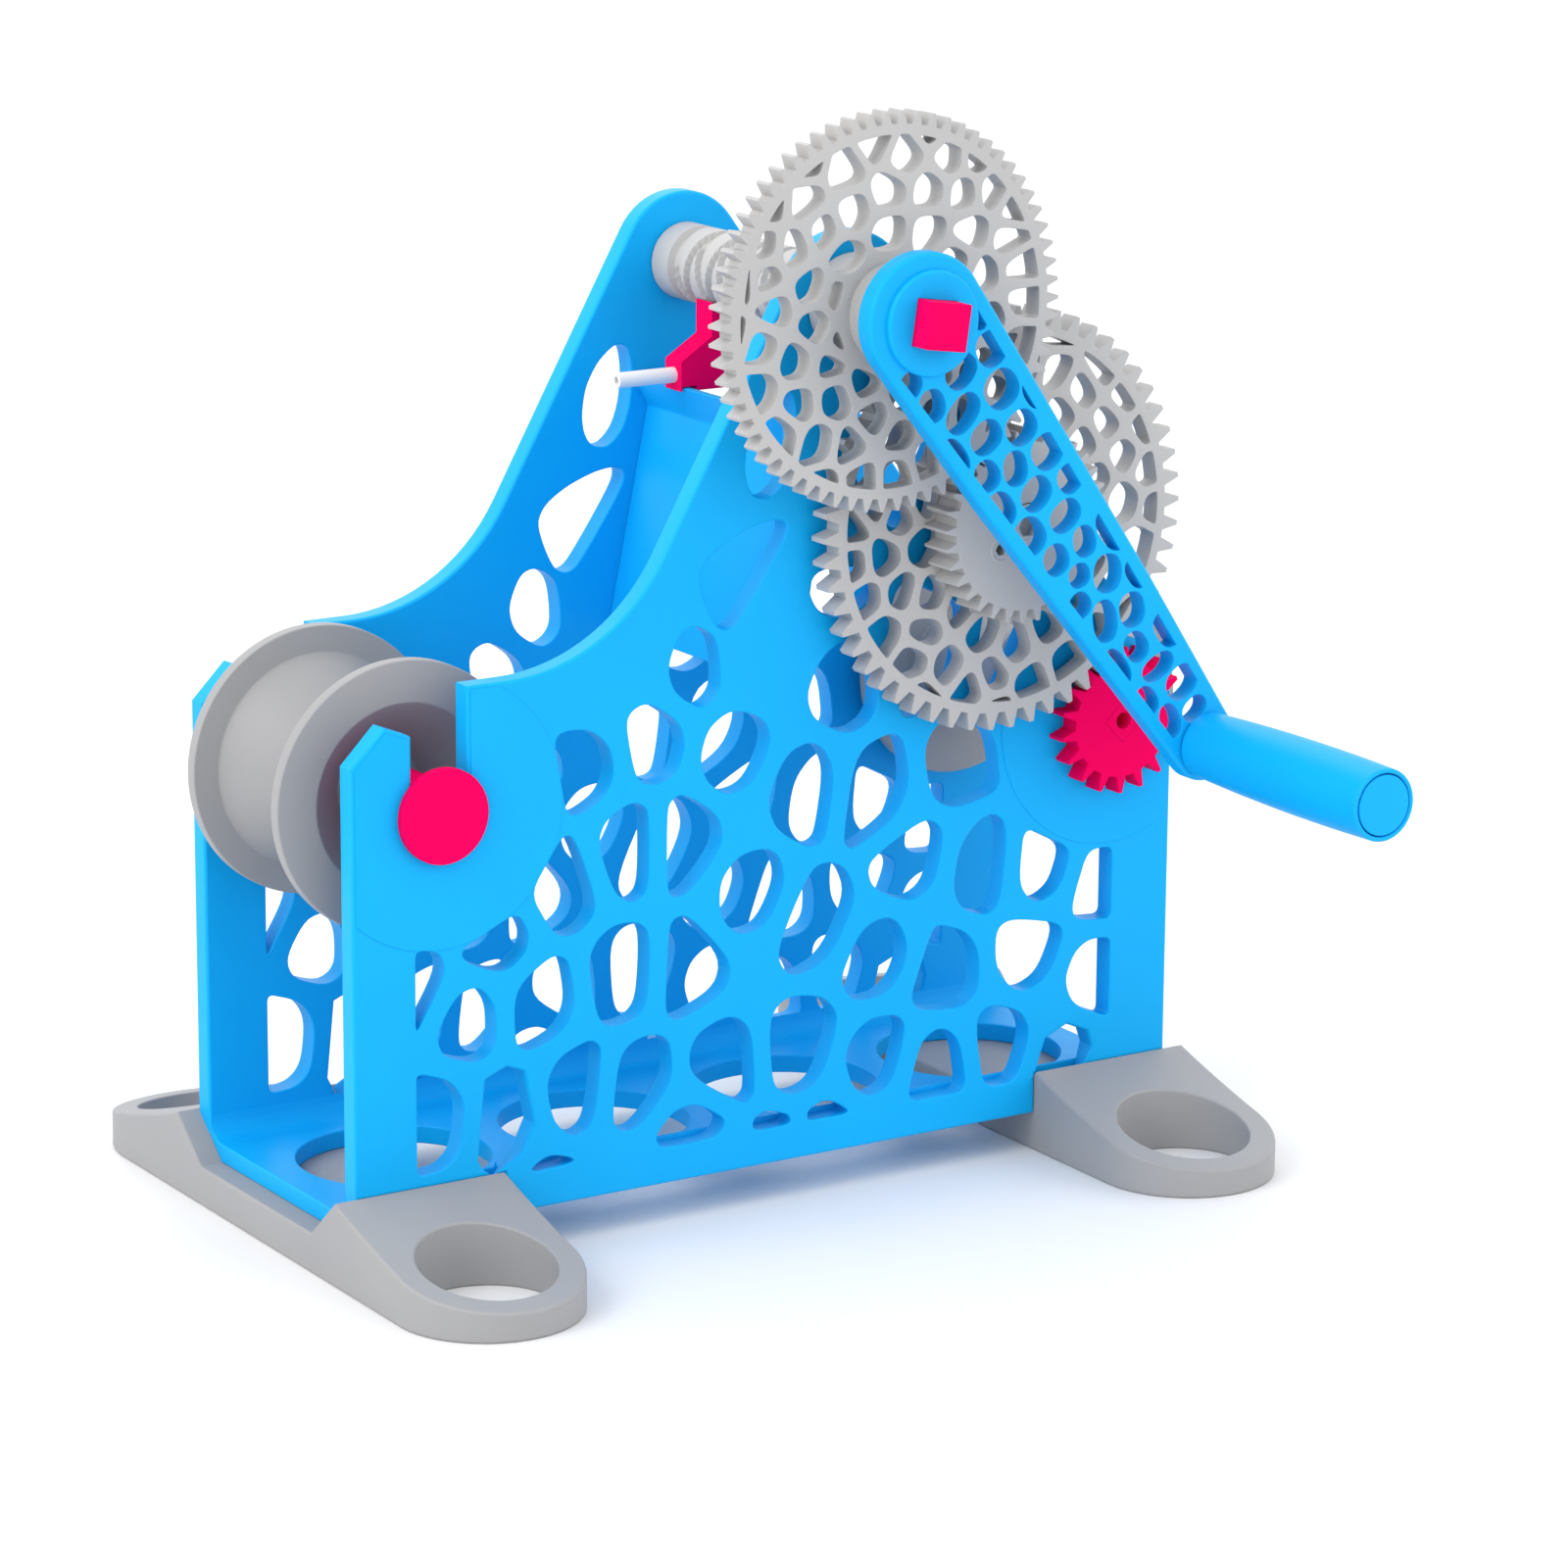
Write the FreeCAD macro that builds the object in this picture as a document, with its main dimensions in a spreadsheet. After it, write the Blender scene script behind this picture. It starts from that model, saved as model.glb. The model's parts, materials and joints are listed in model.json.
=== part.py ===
import FreeCAD, Part
import math
import os

from FreeCAD import Placement, Rotation, Vector

# Filament spool winder, in millimetres.
# The origin is the middle of the left foot's underside, on the table. +X runs from the source spool to
# the take-up spool, +Y from the near wall (the geared side) to the far wall, +Z up. Sub-parts are laid
# out about the middle of the tray's underside, and new_body moves them from there to the origin.

doc = FreeCAD.newDocument("filament_spool_winder")
sheet = doc.addObject("Spreadsheet::Sheet", "Sizes")

SIZES = {
    # frame
    "frame_length": 250.0,
    "frame_width": 88.0,
    "wall_thickness": 6.5,
    "floor_thickness": 5.0,
    "floor_fillet": 6.0,
    "floor_hole_diameter": 51.0,
    "floor_end_margin": 9.05,
    "floor_hole_count": 4,
    # wall outline
    "post_height": 122.0,
    "post_peak_height": 131.5,
    "post_peak_inset": 9.4,
    "post_tip_height": 128.5,
    "shelf_height": 139.4,
    "shoulder_radius": 52.0,
    "slope_angle": 60.6,
    "top_round": 18.5,
    "end_round": 20.8,
    # lattice in the walls
    "wall_rib": 5.4,
    "wall_hole_round": 9.0,
    "wall_hole_turn": 64.0,
    "wall_hole_area": 18.0,
    "lattice_side_margin": 17.6,
    "lattice_end_margin": 18.8,
    "lattice_floor_margin": 9.7,
    "lattice_slope_margin": 10.8,
    "lattice_shoulder_margin": 13.5,
    "source_zone_radius": 35.0,
    "reel_zone_radius": 36.5,
    "crank_zone_radius": 29.0,
    "idler_zone_radius": 24.0,
    # source spool and its axle
    "source_inset": 24.8,
    "source_height": 107.7,
    "journal_diameter": 15.4,
    "slot_clearance": 0.2,
    "axle_cap_radius": 12.3,
    "axle_cap_thickness": 2.9,
    "axle_end_radius": 5.0,
    "cap_gap": 0.3,
    "spool_width": 50.0,
    "spool_flange_radius": 35.5,
    "spool_flange_thickness": 3.7,
    "spool_cone_radius": 28.3,
    "spool_waist_radius": 17.0,
    "spool_waist_width": 8.0,
    "spool_funnel_radius": 24.5,
    "spool_funnel_depth": 14.0,
    # take-up spool and its shaft
    "take_up_height": 107.7,
    "reel_width": 62.0,
    "reel_flange_radius": 31.0,
    "reel_flange_thickness": 3.0,
    "reel_hub_radius": 15.0,
    "shaft_square": 12.0,
    "shaft_head_radius": 12.0,
    "shaft_head_thickness": 3.0,
    "shaft_pilot_diameter": 4.6,
    "shaft_pilot_depth": 16.0,
    # gears
    "fine_module": 1.5,
    "coarse_module": 2.0,
    "crank_gear_teeth": 66,
    "idler_pinion_teeth": 32,
    "idler_gear_teeth": 54,
    "drive_pinion_teeth": 18,
    "pressure_angle": 20.0,
    "gear_root_modules": 1.25,
    "backlash": 0.6,
    "gear_thickness": 6.0,
    "drive_pinion_thickness": 6.2,
    "idler_pinion_thickness": 10.5,
    "idler_gap": 2.5,
    "crank_gear_gap": 13.5,
    "train_angle_crank": 54.0,
    "train_angle_reel": 55.3,
    "gear_rib": 2.2,
    "gear_rim": 2.6,
    "gear_hub_ring": 3.0,
    "gear_hole_area": 4.0,
    "crank_hub_radius": 13.0,
    "idler_hub_radius": 12.0,
    "idler_spigot_square": 14.0,
    "idler_axle_diameter": 8.0,
    "idler_head_radius": 6.0,
    "idler_head_thickness": 2.0,
    "idler_hex_size": 5.0,
    "idler_hex_depth": 3.0,
    "idler_tail": 2.0,
    "idler_clip_radius": 7.0,
    "idler_clip_thickness": 1.2,
    "idler_clip_mouth": 35.0,
    "idler_clip_groove": 1.0,
    # level-wind barrel
    "barrel_radius": 10.3,
    "barrel_stub_radius": 7.0,
    "filament_diameter": 1.75,
    "groove_turns": 5,
    "groove_width": 3.0,
    "groove_floor_width": 2.1,
    "groove_depth": 2.4,
    # crank
    "crank_square": 12.0,
    "crank_square_end": 6.5,
    "crank_socket_depth": 30.0,
    "crank_hub_length": 11.3,
    "crank_arm_thickness": 6.2,
    "crank_length": 148.9,
    "crank_angle": 53.3,
    "crank_head_radius": 19.1,
    "crank_end_radius": 9.9,
    "crank_border": 3.6,
    "crank_rib": 2.0,
    "crank_hole_area": 5.0,
    "crank_head_ring": 0.5,
    "crank_boss_radius": 13.5,
    "crank_boss_height": 1.6,
    # handle
    "handle_length": 74.0,
    "handle_base_radius": 8.8,
    "handle_waist_radius": 9.9,
    "handle_end_radius": 9.5,
    "handle_pin_radius": 5.0,
    "handle_head_radius": 7.9,
    "handle_head_thickness": 3.0,
    "handle_gap": 0.4,
    # carriage
    "carriage_thickness": 8.0,
    "carriage_offset": 14.0,
    "carriage_drop": 30.0,
    "carriage_reach": 17.4,
    "carriage_neck": 8.0,
    "carriage_neck_drop": 16.0,
    "carriage_nose_height": 8.0,
    "follower_radius": 1.3,
    "follower_length": 12.0,
    "tube_radius": 2.1,
    "tube_bore_radius": 1.0,
    "tube_drop": 26.0,
    "tube_reach": 17.5,
    # cross web
    "web_thickness": 5.0,
    "web_foot_height": 129.0,
    "web_slant": 11.5,
    "web_rail_rise": 9.0,
    "web_rail_lean": 30.0,
    "web_rail_gap": 1.0,
    "rail_groove_depth": 1.2,
    # feet
    "foot_length": 49.4,
    "foot_overhang": 6.4,
    "foot_bridge": 10.6,
    "foot_cheek_height": 11.4,
    "foot_cheek_width": 13.0,
    "foot_pad_offset": 34.0,
    "foot_tip_height": 7.3,
    "foot_mid_height": 15.5,
    "foot_mid_offset": 22.0,
    "foot_hole_diameter": 35.6,
    # clearances
    "running_clearance": 0.1,
    "seat_clearance": 0.03,
    "free_clearance": 0.3,
    "cut_allowance": 1.0,
}

# Middles of the wall's lattice holes, tier by tier from the tray up (x, z).
WALL_CELLS = [
    (-68.5, 1.5), (-27, 13.5), (-2.5, 0.5), (17.5, 2.5),
    (-101, 28), (-81.5, 26), (-62, 30), (-42, 27.5), (-17, 29.5), (7, 31), (30.5, 23), (50.5, 18),
    (71.5, 21.5), (92, 14),
    (-92.5, 53.5), (-71, 54), (-47, 58), (-26.5, 57), (31, 52), (53, 44), (79, 44.5), (101, 35),
    (-108, 63), (-84, 73), (-65, 84), (-9.5, 73.5), (11.5, 62.5), (42.5, 74.5), (63, 71), (84, 69),
    (103, 62.5),
    (-45.5, 91), (-28, 91), (-58, 115), (-38, 119.5), (-14, 112), (7.5, 100.5), (30.5, 97), (55.5, 102),
    (-27.5, 135.5), (19.5, 126), (45, 129), (71, 125),
    (-13, 159), (8.5, 152), (-4.5, 191.5), (27, 186),
]

# Places between those holes where the wall stays solid.
WALL_SOLID = [
    (-58, 139), (-45, 143), (-4, 138), (3.5, 149.5), (-21, 180), (11, 186), (10, 170),
    (-99, -4), (-45, -1), (-12, -2), (109, 5),
]

# Middles of the crank gear's lattice holes (x, z), from its axis.
CRANK_GEAR_CELLS = [
    (-26, 40), (-14.6, 37), (-5.5, 44), (3.2, 39.5), (11.5, 47), (16.8, 38.2), (26, 38), (-26, 30.2),
    (-37, 30), (-12, 26.2), (-1.2, 30.7), (11, 30), (21, 28.3), (30.5, 29), (37.5, 23.8), (-38.5, 19.5),
    (-29.2, 18.4), (-20.8, 22), (-14, 15), (-0.8, 20.6), (10.5, 19.8), (23.6, 18.7), (36, 15.8), (-45, 11.3),
    (-37.4, 11.5), (-24.6, 8.6), (-15.7, 5.2), (-35, 3.4), (19.5, 11.5), (28, 7), (39, 8.8), (-48, -2),
    (-38.8, -5.6), (-22.3, -1.5), (-14.5, -6), (39, 0), (31, -4), (-28.7, -10), (-18, -11.3), (-39, -16.5),
    (-27.6, -21), (-16.4, -20.6), (-8, -17), (-4.8, -26.3), (-32.8, -28), (-21.6, -31.4), (-12, -33.2),
    (2.6, -32), (-8.8, -41.5), (2.4, -41.5), (11.2, -38.6), (-20, -43), (38, -11), (21, -8), (13, -16),
    (4, -21), (26, -16), (14, -27), (34, -21), (24, -28), (21, -38), (33, -32),
]

# Middles of the idler gear's lattice holes (x, z), from its axis.
IDLER_GEAR_CELLS = [
    (-47, 3.2), (-41, 8), (-32.5, 3.7), (-47, -7.4), (-37.2, -6.2), (-25.5, -4.6), (-43, -16.5),
    (-31.5, -15.5), (-23, -17.8), (-13.3, -22.5), (-37.4, -26.4), (-24.3, -26.9), (-6.8, -29.3), (-28, -34.4),
    (-17, -36.9),
    (4.2, -34.4), (-3, -40.8), (-9.9, -43.7), (-26, -45), (9.8, -44), (14.7, -30), (20.8, -40), (-2, -52),
    (15.5, 38.2), (16, 49), (24, 32.2), (30.5, 37), (17, 26), (32.5, 22.5), (38, 29), (24.6, 17.5), (38, 14),
    (44, 20), (28.5, 8), (46, 9), (38, 1), (49, -2), (44, -11), (-44, 15), (-34, 14), (-25, 8), (-38, 25),
    (-26, 22), (-15, 17), (-28, 34), (-16, 28), (-17, 41), (-5, 22), (-5, 34), (-4, 45), (6, 28), (6, 40),
    (-16, 7), (-14, -10), (-3, -18), (8, -17), (17, -9), (18, 2), (12, 14), (28, -5), (27, -16), (22, -24),
    (34, -22), (31, -33), (39, -31),
]

# Middles of the crank arm's lattice holes (along the arm, across it).
CRANK_CELLS = [
    (10, -13), (10, 14), (17, 1), (18, -10), (19, 10), (26, -5), (29, 8), (34, -13), (35, -3), (35, 13),
    (41, 6), (44, -10), (48, -2), (52, 9), (54, -12), (58, -1), (62, 9), (66, -8), (70, 3), (76, -8),
    (77, 4), (83, 10), (85, -3), (90, 5), (91, -9), (97, 10), (100, -5), (104, 4), (112, -1), (112, -9),
    (116, 8), (122, 1), (126, -7), (130, 6), (137, -5), (138, 4),
]


def fill_sheet():
    """Write every size into the sheet as an aliased cell."""
    for row, (alias, value) in enumerate(SIZES.items(), start=1):
        sheet.set(f"A{row}", alias.replace("_", " "))
        sheet.set(f"B{row}", str(value))
        sheet.setAlias(f"B{row}", alias)
    doc.recompute()


class Size:
    """The sheet's cells as plain numbers: size.wall_thickness."""

    def __getattr__(self, alias):
        return float(sheet.get(alias))


size = Size()


def bind(thing, prop, expression):
    """Tie a property to cells of the sheet: names after an @ are aliases."""
    thing.setExpression(prop, expression.replace("@", "Sizes."))


def polar(radius, degrees):
    """Point at a radius and an angle, in a sketch plane."""
    return (radius * math.cos(math.radians(degrees)), radius * math.sin(math.radians(degrees)))


def add(first, second):
    """Sum of two plane points."""
    return (first[0] + second[0], first[1] + second[1])


def vec(point):
    """Plane point as a sketch vector."""
    return Vector(point[0], point[1], 0)


# Places that the frame, the gears and the shafts share

def places():
    """Axis positions (x, z), worked out from the gear train down to the take-up axis."""
    reel = (size.frame_length / 2 - size.end_round, size.take_up_height)
    coarse = size.coarse_module * (size.idler_gear_teeth + size.drive_pinion_teeth) / 2
    idler = add(reel, polar(coarse, 180 - size.train_angle_reel))
    fine = size.fine_module * (size.crank_gear_teeth + size.idler_pinion_teeth) / 2
    crank = add(idler, polar(fine, 180 - size.train_angle_crank))
    source = (size.source_inset - size.frame_length / 2, size.source_height)
    return {"reel": reel, "idler": idler, "crank": crank, "source": source}


def winding_lead():
    """Barrel lead: one filament diameter for each turn of the take-up spool."""
    train = size.crank_gear_teeth / size.idler_pinion_teeth * size.idler_gear_teeth / size.drive_pinion_teeth
    return size.filament_diameter * train


# Bodies, sketches and features

def tray_middle():
    """Middle of the tray's underside, from the origin under the left foot."""
    return Vector(size.frame_length / 2 + size.foot_overhang - size.foot_length / 2, 0, size.foot_bridge)


def new_body(label, base=(0, 0, 0), turn=0.0):
    """Named body whose own frame sits at base from the tray's middle, turned about the Y axis."""
    body = doc.addObject("PartDesign::Body", label)
    body.Label = label
    body.Placement = Placement(tray_middle() + Vector(*base), Rotation(Vector(0, 1, 0), turn))
    return body


def new_sketch(body, plane, geometry, offset="0"):
    """Sketch on one of the body's origin planes; offset is an expression along the plane's normal."""
    sketch = body.newObject("Sketcher::SketchObject", body.Label + "_sketch")
    support = [feature for feature in body.Origin.OriginFeatures if feature.Role == plane][0]
    sketch.AttachmentSupport = [(support, "")]
    sketch.MapMode = "FlatFace"
    bind(sketch, ".AttachmentOffset.Base.z", offset)
    sketch.addGeometry(geometry, False)
    return sketch


def pad(body, sketch, length, symmetric=False):
    """Pad a sketch by a length expression."""
    feature = body.newObject("PartDesign::Pad", body.Label + "_pad")
    feature.Profile = sketch
    bind(feature, "Length", length)
    if symmetric:
        feature.SideType = "Symmetric"
    sketch.Visibility = False
    return feature


def pocket(body, sketch, length, symmetric=False, reverse=False):
    """Cut a sketch by a length expression; an ordinary pocket cuts against the sketch's normal."""
    feature = body.newObject("PartDesign::Pocket", body.Label + "_pocket")
    feature.Profile = sketch
    bind(feature, "Length", length)
    if symmetric:
        feature.SideType = "Symmetric"
    feature.Reversed = reverse
    sketch.Visibility = False
    return feature


def revolve(body, points):
    """Turn a closed profile (y along the axle, radius) about the body's own Y axis."""
    sketch = new_sketch(body, "YZ_Plane", closed_line(points))
    feature = body.newObject("PartDesign::Revolution", body.Label + "_revolution")
    feature.Profile = sketch
    feature.ReferenceAxis = (sketch, ["H_Axis"])
    feature.Angle = 360
    sketch.Visibility = False
    return feature


def groove(body, points):
    """Turn a closed profile (y along the axle, radius) about the Y axis and cut it out."""
    sketch = new_sketch(body, "YZ_Plane", closed_line(points))
    feature = body.newObject("PartDesign::Groove", body.Label + "_groove")
    feature.Profile = sketch
    feature.ReferenceAxis = (sketch, ["H_Axis"])
    feature.Angle = 360
    sketch.Visibility = False
    return feature


# Outlines

def closed_line(points):
    """Straight edges round a list of points."""
    return [Part.LineSegment(vec(points[i - 1]), vec(points[i])) for i in range(len(points))]


def circle(radius, middle=(0, 0)):
    """Full circle."""
    return Part.Circle(vec(middle), Vector(0, 0, 1), radius)


def square(side, degrees=0.0):
    """Square about the sketch's origin, with one corner at the given angle."""
    return closed_line([polar(side / math.sqrt(2), degrees + 90 * i) for i in range(4)])


def arc(start, middle, end):
    """Arc through three plane points."""
    return Part.Arc(vec(start), vec(middle), vec(end))


def joined(start, end):
    """Straight edge between two plane points."""
    return Part.LineSegment(vec(start), vec(end))


# Lattice: each hole is what is nearer to its own middle than to any other, less half a rib.
# A border is a straight limit (normal, reach): a hole stays where normal . point <= reach.

def dot(first, second):
    """Scalar product of two plane vectors."""
    return first[0] * second[0] + first[1] * second[1]


def toward(start, end):
    """Unit vector from one plane point to another."""
    gap = math.dist(start, end)
    return ((end[0] - start[0]) / gap, (end[1] - start[1]) / gap)


def clear_of(cell, middle, radius):
    """Border that keeps a cell's hole out of a round zone."""
    normal = toward(cell, middle)
    return (normal, dot(normal, middle) - radius)


def within(cell, middle, radius):
    """Border that keeps a cell's hole inside a round zone."""
    normal = toward(middle, cell)
    return (normal, dot(normal, middle) + radius)


def clip(points, normal, reach):
    """Keep the part of a convex polygon where normal . point <= reach."""
    kept = []
    for i, end in enumerate(points):
        start = points[i - 1]
        start_over = dot(normal, start) - reach
        end_over = dot(normal, end) - reach
        if (start_over > 0) != (end_over > 0):
            share = start_over / (start_over - end_over)
            kept.append((start[0] + share * (end[0] - start[0]), start[1] + share * (end[1] - start[1])))
        if end_over <= 0:
            kept.append(end)
    return kept


def cell_corners(cell, cells, borders, rib):
    """Corners of the hole about one cell."""
    far = 2 * size.frame_length
    corners = [(-far, -far), (far, -far), (far, far), (-far, far)]
    for other in cells:
        if other != cell:
            normal = toward(cell, other)
            corners = clip(corners, normal, dot(normal, cell) + (math.dist(cell, other) - rib) / 2)
    for normal, reach in borders:
        corners = clip(corners, normal, reach)
    return corners


def without_short_edges(points, shortest):
    """Merge neighbouring corners that are closer than shortest."""
    corners = list(points)
    i = 0
    while i < len(corners) and len(corners) > 3:
        first, second = corners[i - 1], corners[i]
        if math.dist(first, second) < shortest:
            corners[i] = ((first[0] + second[0]) / 2, (first[1] + second[1]) / 2)
            corners.pop(i - 1)
            i = 0
        else:
            i += 1
    return corners


def on_border(start, end, borders):
    """Whether an edge runs along one of the borders."""
    near = size.seat_clearance
    return any(abs(dot(n, start) - r) < near and abs(dot(n, end) - r) < near for n, r in borders)


def bevelled(points, radius, turn, borders):
    """Cut the corners that turn by more than an angle, except on borders, by the chord of a radius."""
    cuts = []
    for i, corner in enumerate(points):
        before, after = points[i - 1], points[(i + 1) % len(points)]
        into, out = toward(before, corner), toward(corner, after)
        bend = math.acos(max(-1.0, min(1.0, dot(into, out))))
        at_border = on_border(before, corner, borders) or on_border(corner, after, borders)
        if math.degrees(bend) < turn or at_border:
            cuts.append(corner)
            continue
        reach = min(radius * math.tan(bend / 2), math.dist(before, corner) / 3, math.dist(corner, after) / 3)
        cuts.append((corner[0] - reach * into[0], corner[1] - reach * into[1]))
        cuts.append((corner[0] + reach * out[0], corner[1] + reach * out[1]))
    return cuts


def area(points):
    """Area of a polygon."""
    twice = sum(points[i - 1][0] * p[1] - p[0] * points[i - 1][1] for i, p in enumerate(points))
    return abs(twice) / 2


def lattice(cells, borders_of, rib, smallest):
    """Edges of all lattice holes; borders_of gives the borders of a cell."""
    edges = []
    for cell in cells:
        corners = cell_corners(cell, cells, borders_of(cell), rib)
        if area(corners) > smallest:
            edges += closed_line(without_short_edges(corners, rib))
    return edges


# Gears

def involute_half_angle(base_radius, radius, base_half_angle):
    """Half the angle that a tooth with involute flanks spans at a radius."""
    roll = math.acos(base_radius / radius)
    return base_half_angle - math.degrees(math.tan(roll) - roll)


def gear_outline(module, teeth, phase):
    """Edges of a spur gear's outline, with the middle of one tooth at the angle phase."""
    teeth = int(teeth)
    pitch_radius = module * teeth / 2
    base_radius = pitch_radius * math.cos(math.radians(size.pressure_angle))
    tip_radius = pitch_radius + module
    root_radius = pitch_radius - size.gear_root_modules * module
    pitch_spread = math.tan(math.radians(size.pressure_angle)) - math.radians(size.pressure_angle)
    half_angle = math.degrees((math.pi * module / 2 - size.backlash / 2) / pitch_radius / 2 + pitch_spread)
    start_radius = max(root_radius, base_radius)
    root_half = involute_half_angle(base_radius, start_radius, half_angle)
    tip_half = involute_half_angle(base_radius, tip_radius, half_angle)
    points = []
    for i in range(teeth):
        centre = phase + i * 360 / teeth
        points += [
            polar(root_radius, centre - root_half), polar(tip_radius, centre - tip_half),
            polar(tip_radius, centre + tip_half), polar(root_radius, centre + root_half),
        ]
    return closed_line(points)


def mesh_phase(phase, teeth, other_teeth, direction):
    """Phase of a gear whose gaps meet the teeth of a gear with the given phase and direction to it."""
    turned = (direction - phase) / (360 / teeth) - 0.5
    return direction + 180 + turned * 360 / other_teeth


def gear_lattice(cells, hub_radius, rim_radius):
    """Lattice holes between a gear's hub and its rim."""
    def borders_of(cell):
        return [clear_of(cell, (0, 0), hub_radius + size.gear_hub_ring), within(cell, (0, 0), rim_radius)]

    return lattice(cells, borders_of, size.gear_rib, size.gear_hole_area)


# Frame

def wall_frame_points():
    """Named corners and curves of the wall outline."""
    left = -size.frame_length / 2
    right = size.frame_length / 2
    at = places()
    slot = size.journal_diameter / 2 + size.slot_clearance
    source_x, source_z = at["source"]
    crank_x, crank_z = at["crank"]
    slope = math.radians(size.slope_angle)
    slope_normal = (-math.sin(slope), math.cos(slope))
    slope_top = add((crank_x, crank_z), (slope_normal[0] * size.top_round, slope_normal[1] * size.top_round))
    shoulder_z = size.shelf_height + size.shoulder_radius
    line_x = slope_top[0] - (slope_top[1] - shoulder_z) / math.tan(slope)
    shoulder = (line_x - size.shoulder_radius / math.sin(slope), shoulder_z)
    inward = (-slope_normal[0] * size.shoulder_radius, -slope_normal[1] * size.shoulder_radius)
    slope_foot = add(shoulder, inward)
    return {
        "left": left, "right": right, "slot": slot, "source": (source_x, source_z),
        "crank": (crank_x, crank_z), "reel": at["reel"], "idler": at["idler"],
        "slope_top": slope_top, "slope_normal": slope_normal, "shoulder": shoulder, "slope_foot": slope_foot,
    }


def back_edge_angle():
    """Angle of the normal of the slanted right edge, tangent to the top round and the end round."""
    at = places()
    along = math.degrees(math.atan2(at["reel"][1] - at["crank"][1], at["reel"][0] - at["crank"][0]))
    spread = math.degrees(math.acos((size.top_round - size.end_round) / math.dist(at["reel"], at["crank"])))
    return along + spread


def wall_outline():
    """Edges of the wall's outer edge, from the bottom left corner round by the post."""
    w = wall_frame_points()
    source_x, source_z = w["source"]
    slot_left, slot_right = source_x - w["slot"], source_x + w["slot"]
    back = back_edge_angle()
    top_end = add(w["crank"], polar(size.top_round, back))
    end_start = add(w["reel"], polar(size.end_round, back))
    end_stop = (w["right"], w["reel"][1])
    slope_direction = size.slope_angle + 90
    top_middle = add(w["crank"], polar(size.top_round, (slope_direction + back) / 2))
    end_middle = add(w["reel"], polar(size.end_round, back / 2))
    shoulder_start = (w["shoulder"][0], size.shelf_height)
    shoulder_angle = (-90 + size.slope_angle - 90) / 2
    shoulder_middle = add(w["shoulder"], polar(size.shoulder_radius, shoulder_angle))
    post = [
        (w["right"], 0), (w["left"], 0), (w["left"], size.post_height),
        (w["left"] + size.post_peak_inset, size.post_peak_height), (slot_left, size.post_tip_height),
        (slot_left, source_z),
    ]
    edges = [joined(post[i], post[i + 1]) for i in range(len(post) - 1)]
    edges.append(arc(post[-1], (source_x, source_z - w["slot"]), (slot_right, source_z)))
    edges.append(joined((slot_right, source_z), (slot_right, size.shelf_height)))
    edges.append(joined((slot_right, size.shelf_height), shoulder_start))
    edges.append(arc(shoulder_start, shoulder_middle, w["slope_foot"]))
    edges.append(joined(w["slope_foot"], w["slope_top"]))
    edges.append(arc(w["slope_top"], top_middle, top_end))
    edges.append(joined(top_end, end_start))
    edges.append(arc(end_start, end_middle, end_stop))
    edges.append(joined(end_stop, post[0]))
    return edges


def wall_borders(cell):
    """Borders of a wall's lattice hole: the wall's edges and the round zones about the bearings."""
    w = wall_frame_points()
    back_normal = polar(1, back_edge_angle())
    borders = [
        ((-1, 0), -w["left"] - size.lattice_side_margin), ((1, 0), w["right"] - size.lattice_end_margin),
        ((0, -1), -size.lattice_floor_margin),
        (back_normal, dot(back_normal, w["crank"]) + size.top_round - size.lattice_slope_margin),
        clear_of(cell, w["source"], size.source_zone_radius),
        clear_of(cell, w["reel"], size.reel_zone_radius),
        clear_of(cell, w["crank"], size.crank_zone_radius),
        clear_of(cell, w["idler"], size.idler_zone_radius),
        clear_of(cell, w["shoulder"], size.shoulder_radius + size.lattice_shoulder_margin),
    ]
    if cell[1] > w["slope_foot"][1]:
        slope_reach = dot(w["slope_normal"], w["slope_top"])
        borders.append((w["slope_normal"], slope_reach - size.lattice_slope_margin))
    return borders


def wall_lattice():
    """Lattice holes of a wall, clear of its edges and of the bearing zones."""
    edges = []
    for cell in WALL_CELLS:
        borders = wall_borders(cell)
        corners = cell_corners(cell, WALL_CELLS + WALL_SOLID, borders, size.wall_rib)
        if area(corners) > size.wall_hole_area:
            corners = without_short_edges(corners, size.wall_rib / 2)
            edges += closed_line(bevelled(corners, size.wall_hole_round, size.wall_hole_turn, borders))
    return edges


def foot_grip(body, outer_y):
    """Bevel the bottom corner at outer_y where each foot grips the frame."""
    inward = -1 if outer_y > 0 else 1
    corner = closed_line([
        (outer_y, 0), (outer_y + inward * size.foot_cheek_width, 0), (outer_y, size.foot_cheek_height),
    ])
    grip = "(@foot_length - @foot_overhang)"
    for side in ("-1", "1"):
        sketch = new_sketch(body, "YZ_Plane", corner, f"{side} * (@frame_length - {grip}) / 2")
        pocket(body, sketch, grip, symmetric=True)


def side_wall(label, front_y, bores):
    """One wall: outline, lattice and round bores, between front_y and one wall thickness behind it."""
    body = new_body(label)
    edges = wall_outline() + wall_lattice()
    for middle, radius in bores:
        edges.append(circle(radius, middle))
    offset = "@frame_width / 2 - @wall_thickness" if front_y < 0 else "-@frame_width / 2"
    pad(body, new_sketch(body, "XZ_Plane", edges, offset), "@wall_thickness")
    foot_grip(body, -size.frame_width / 2 if front_y < 0 else size.frame_width / 2)
    return body


def near_side_wall():
    """Wall on the geared side: bores for the barrel, the idler axle and the take-up shaft."""
    at = places()
    running = size.running_clearance
    bores = [
        (at["crank"], size.barrel_radius + running),
        (at["idler"], size.idler_axle_diameter / 2 + size.seat_clearance),
        (at["reel"], size.shaft_square / 2 + running),
    ]
    return side_wall("near_side_wall", -1, bores)


def reel_far_radius():
    """Journal that the square of the take-up shaft can be pushed through."""
    return size.shaft_square / math.sqrt(2) + size.running_clearance


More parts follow.
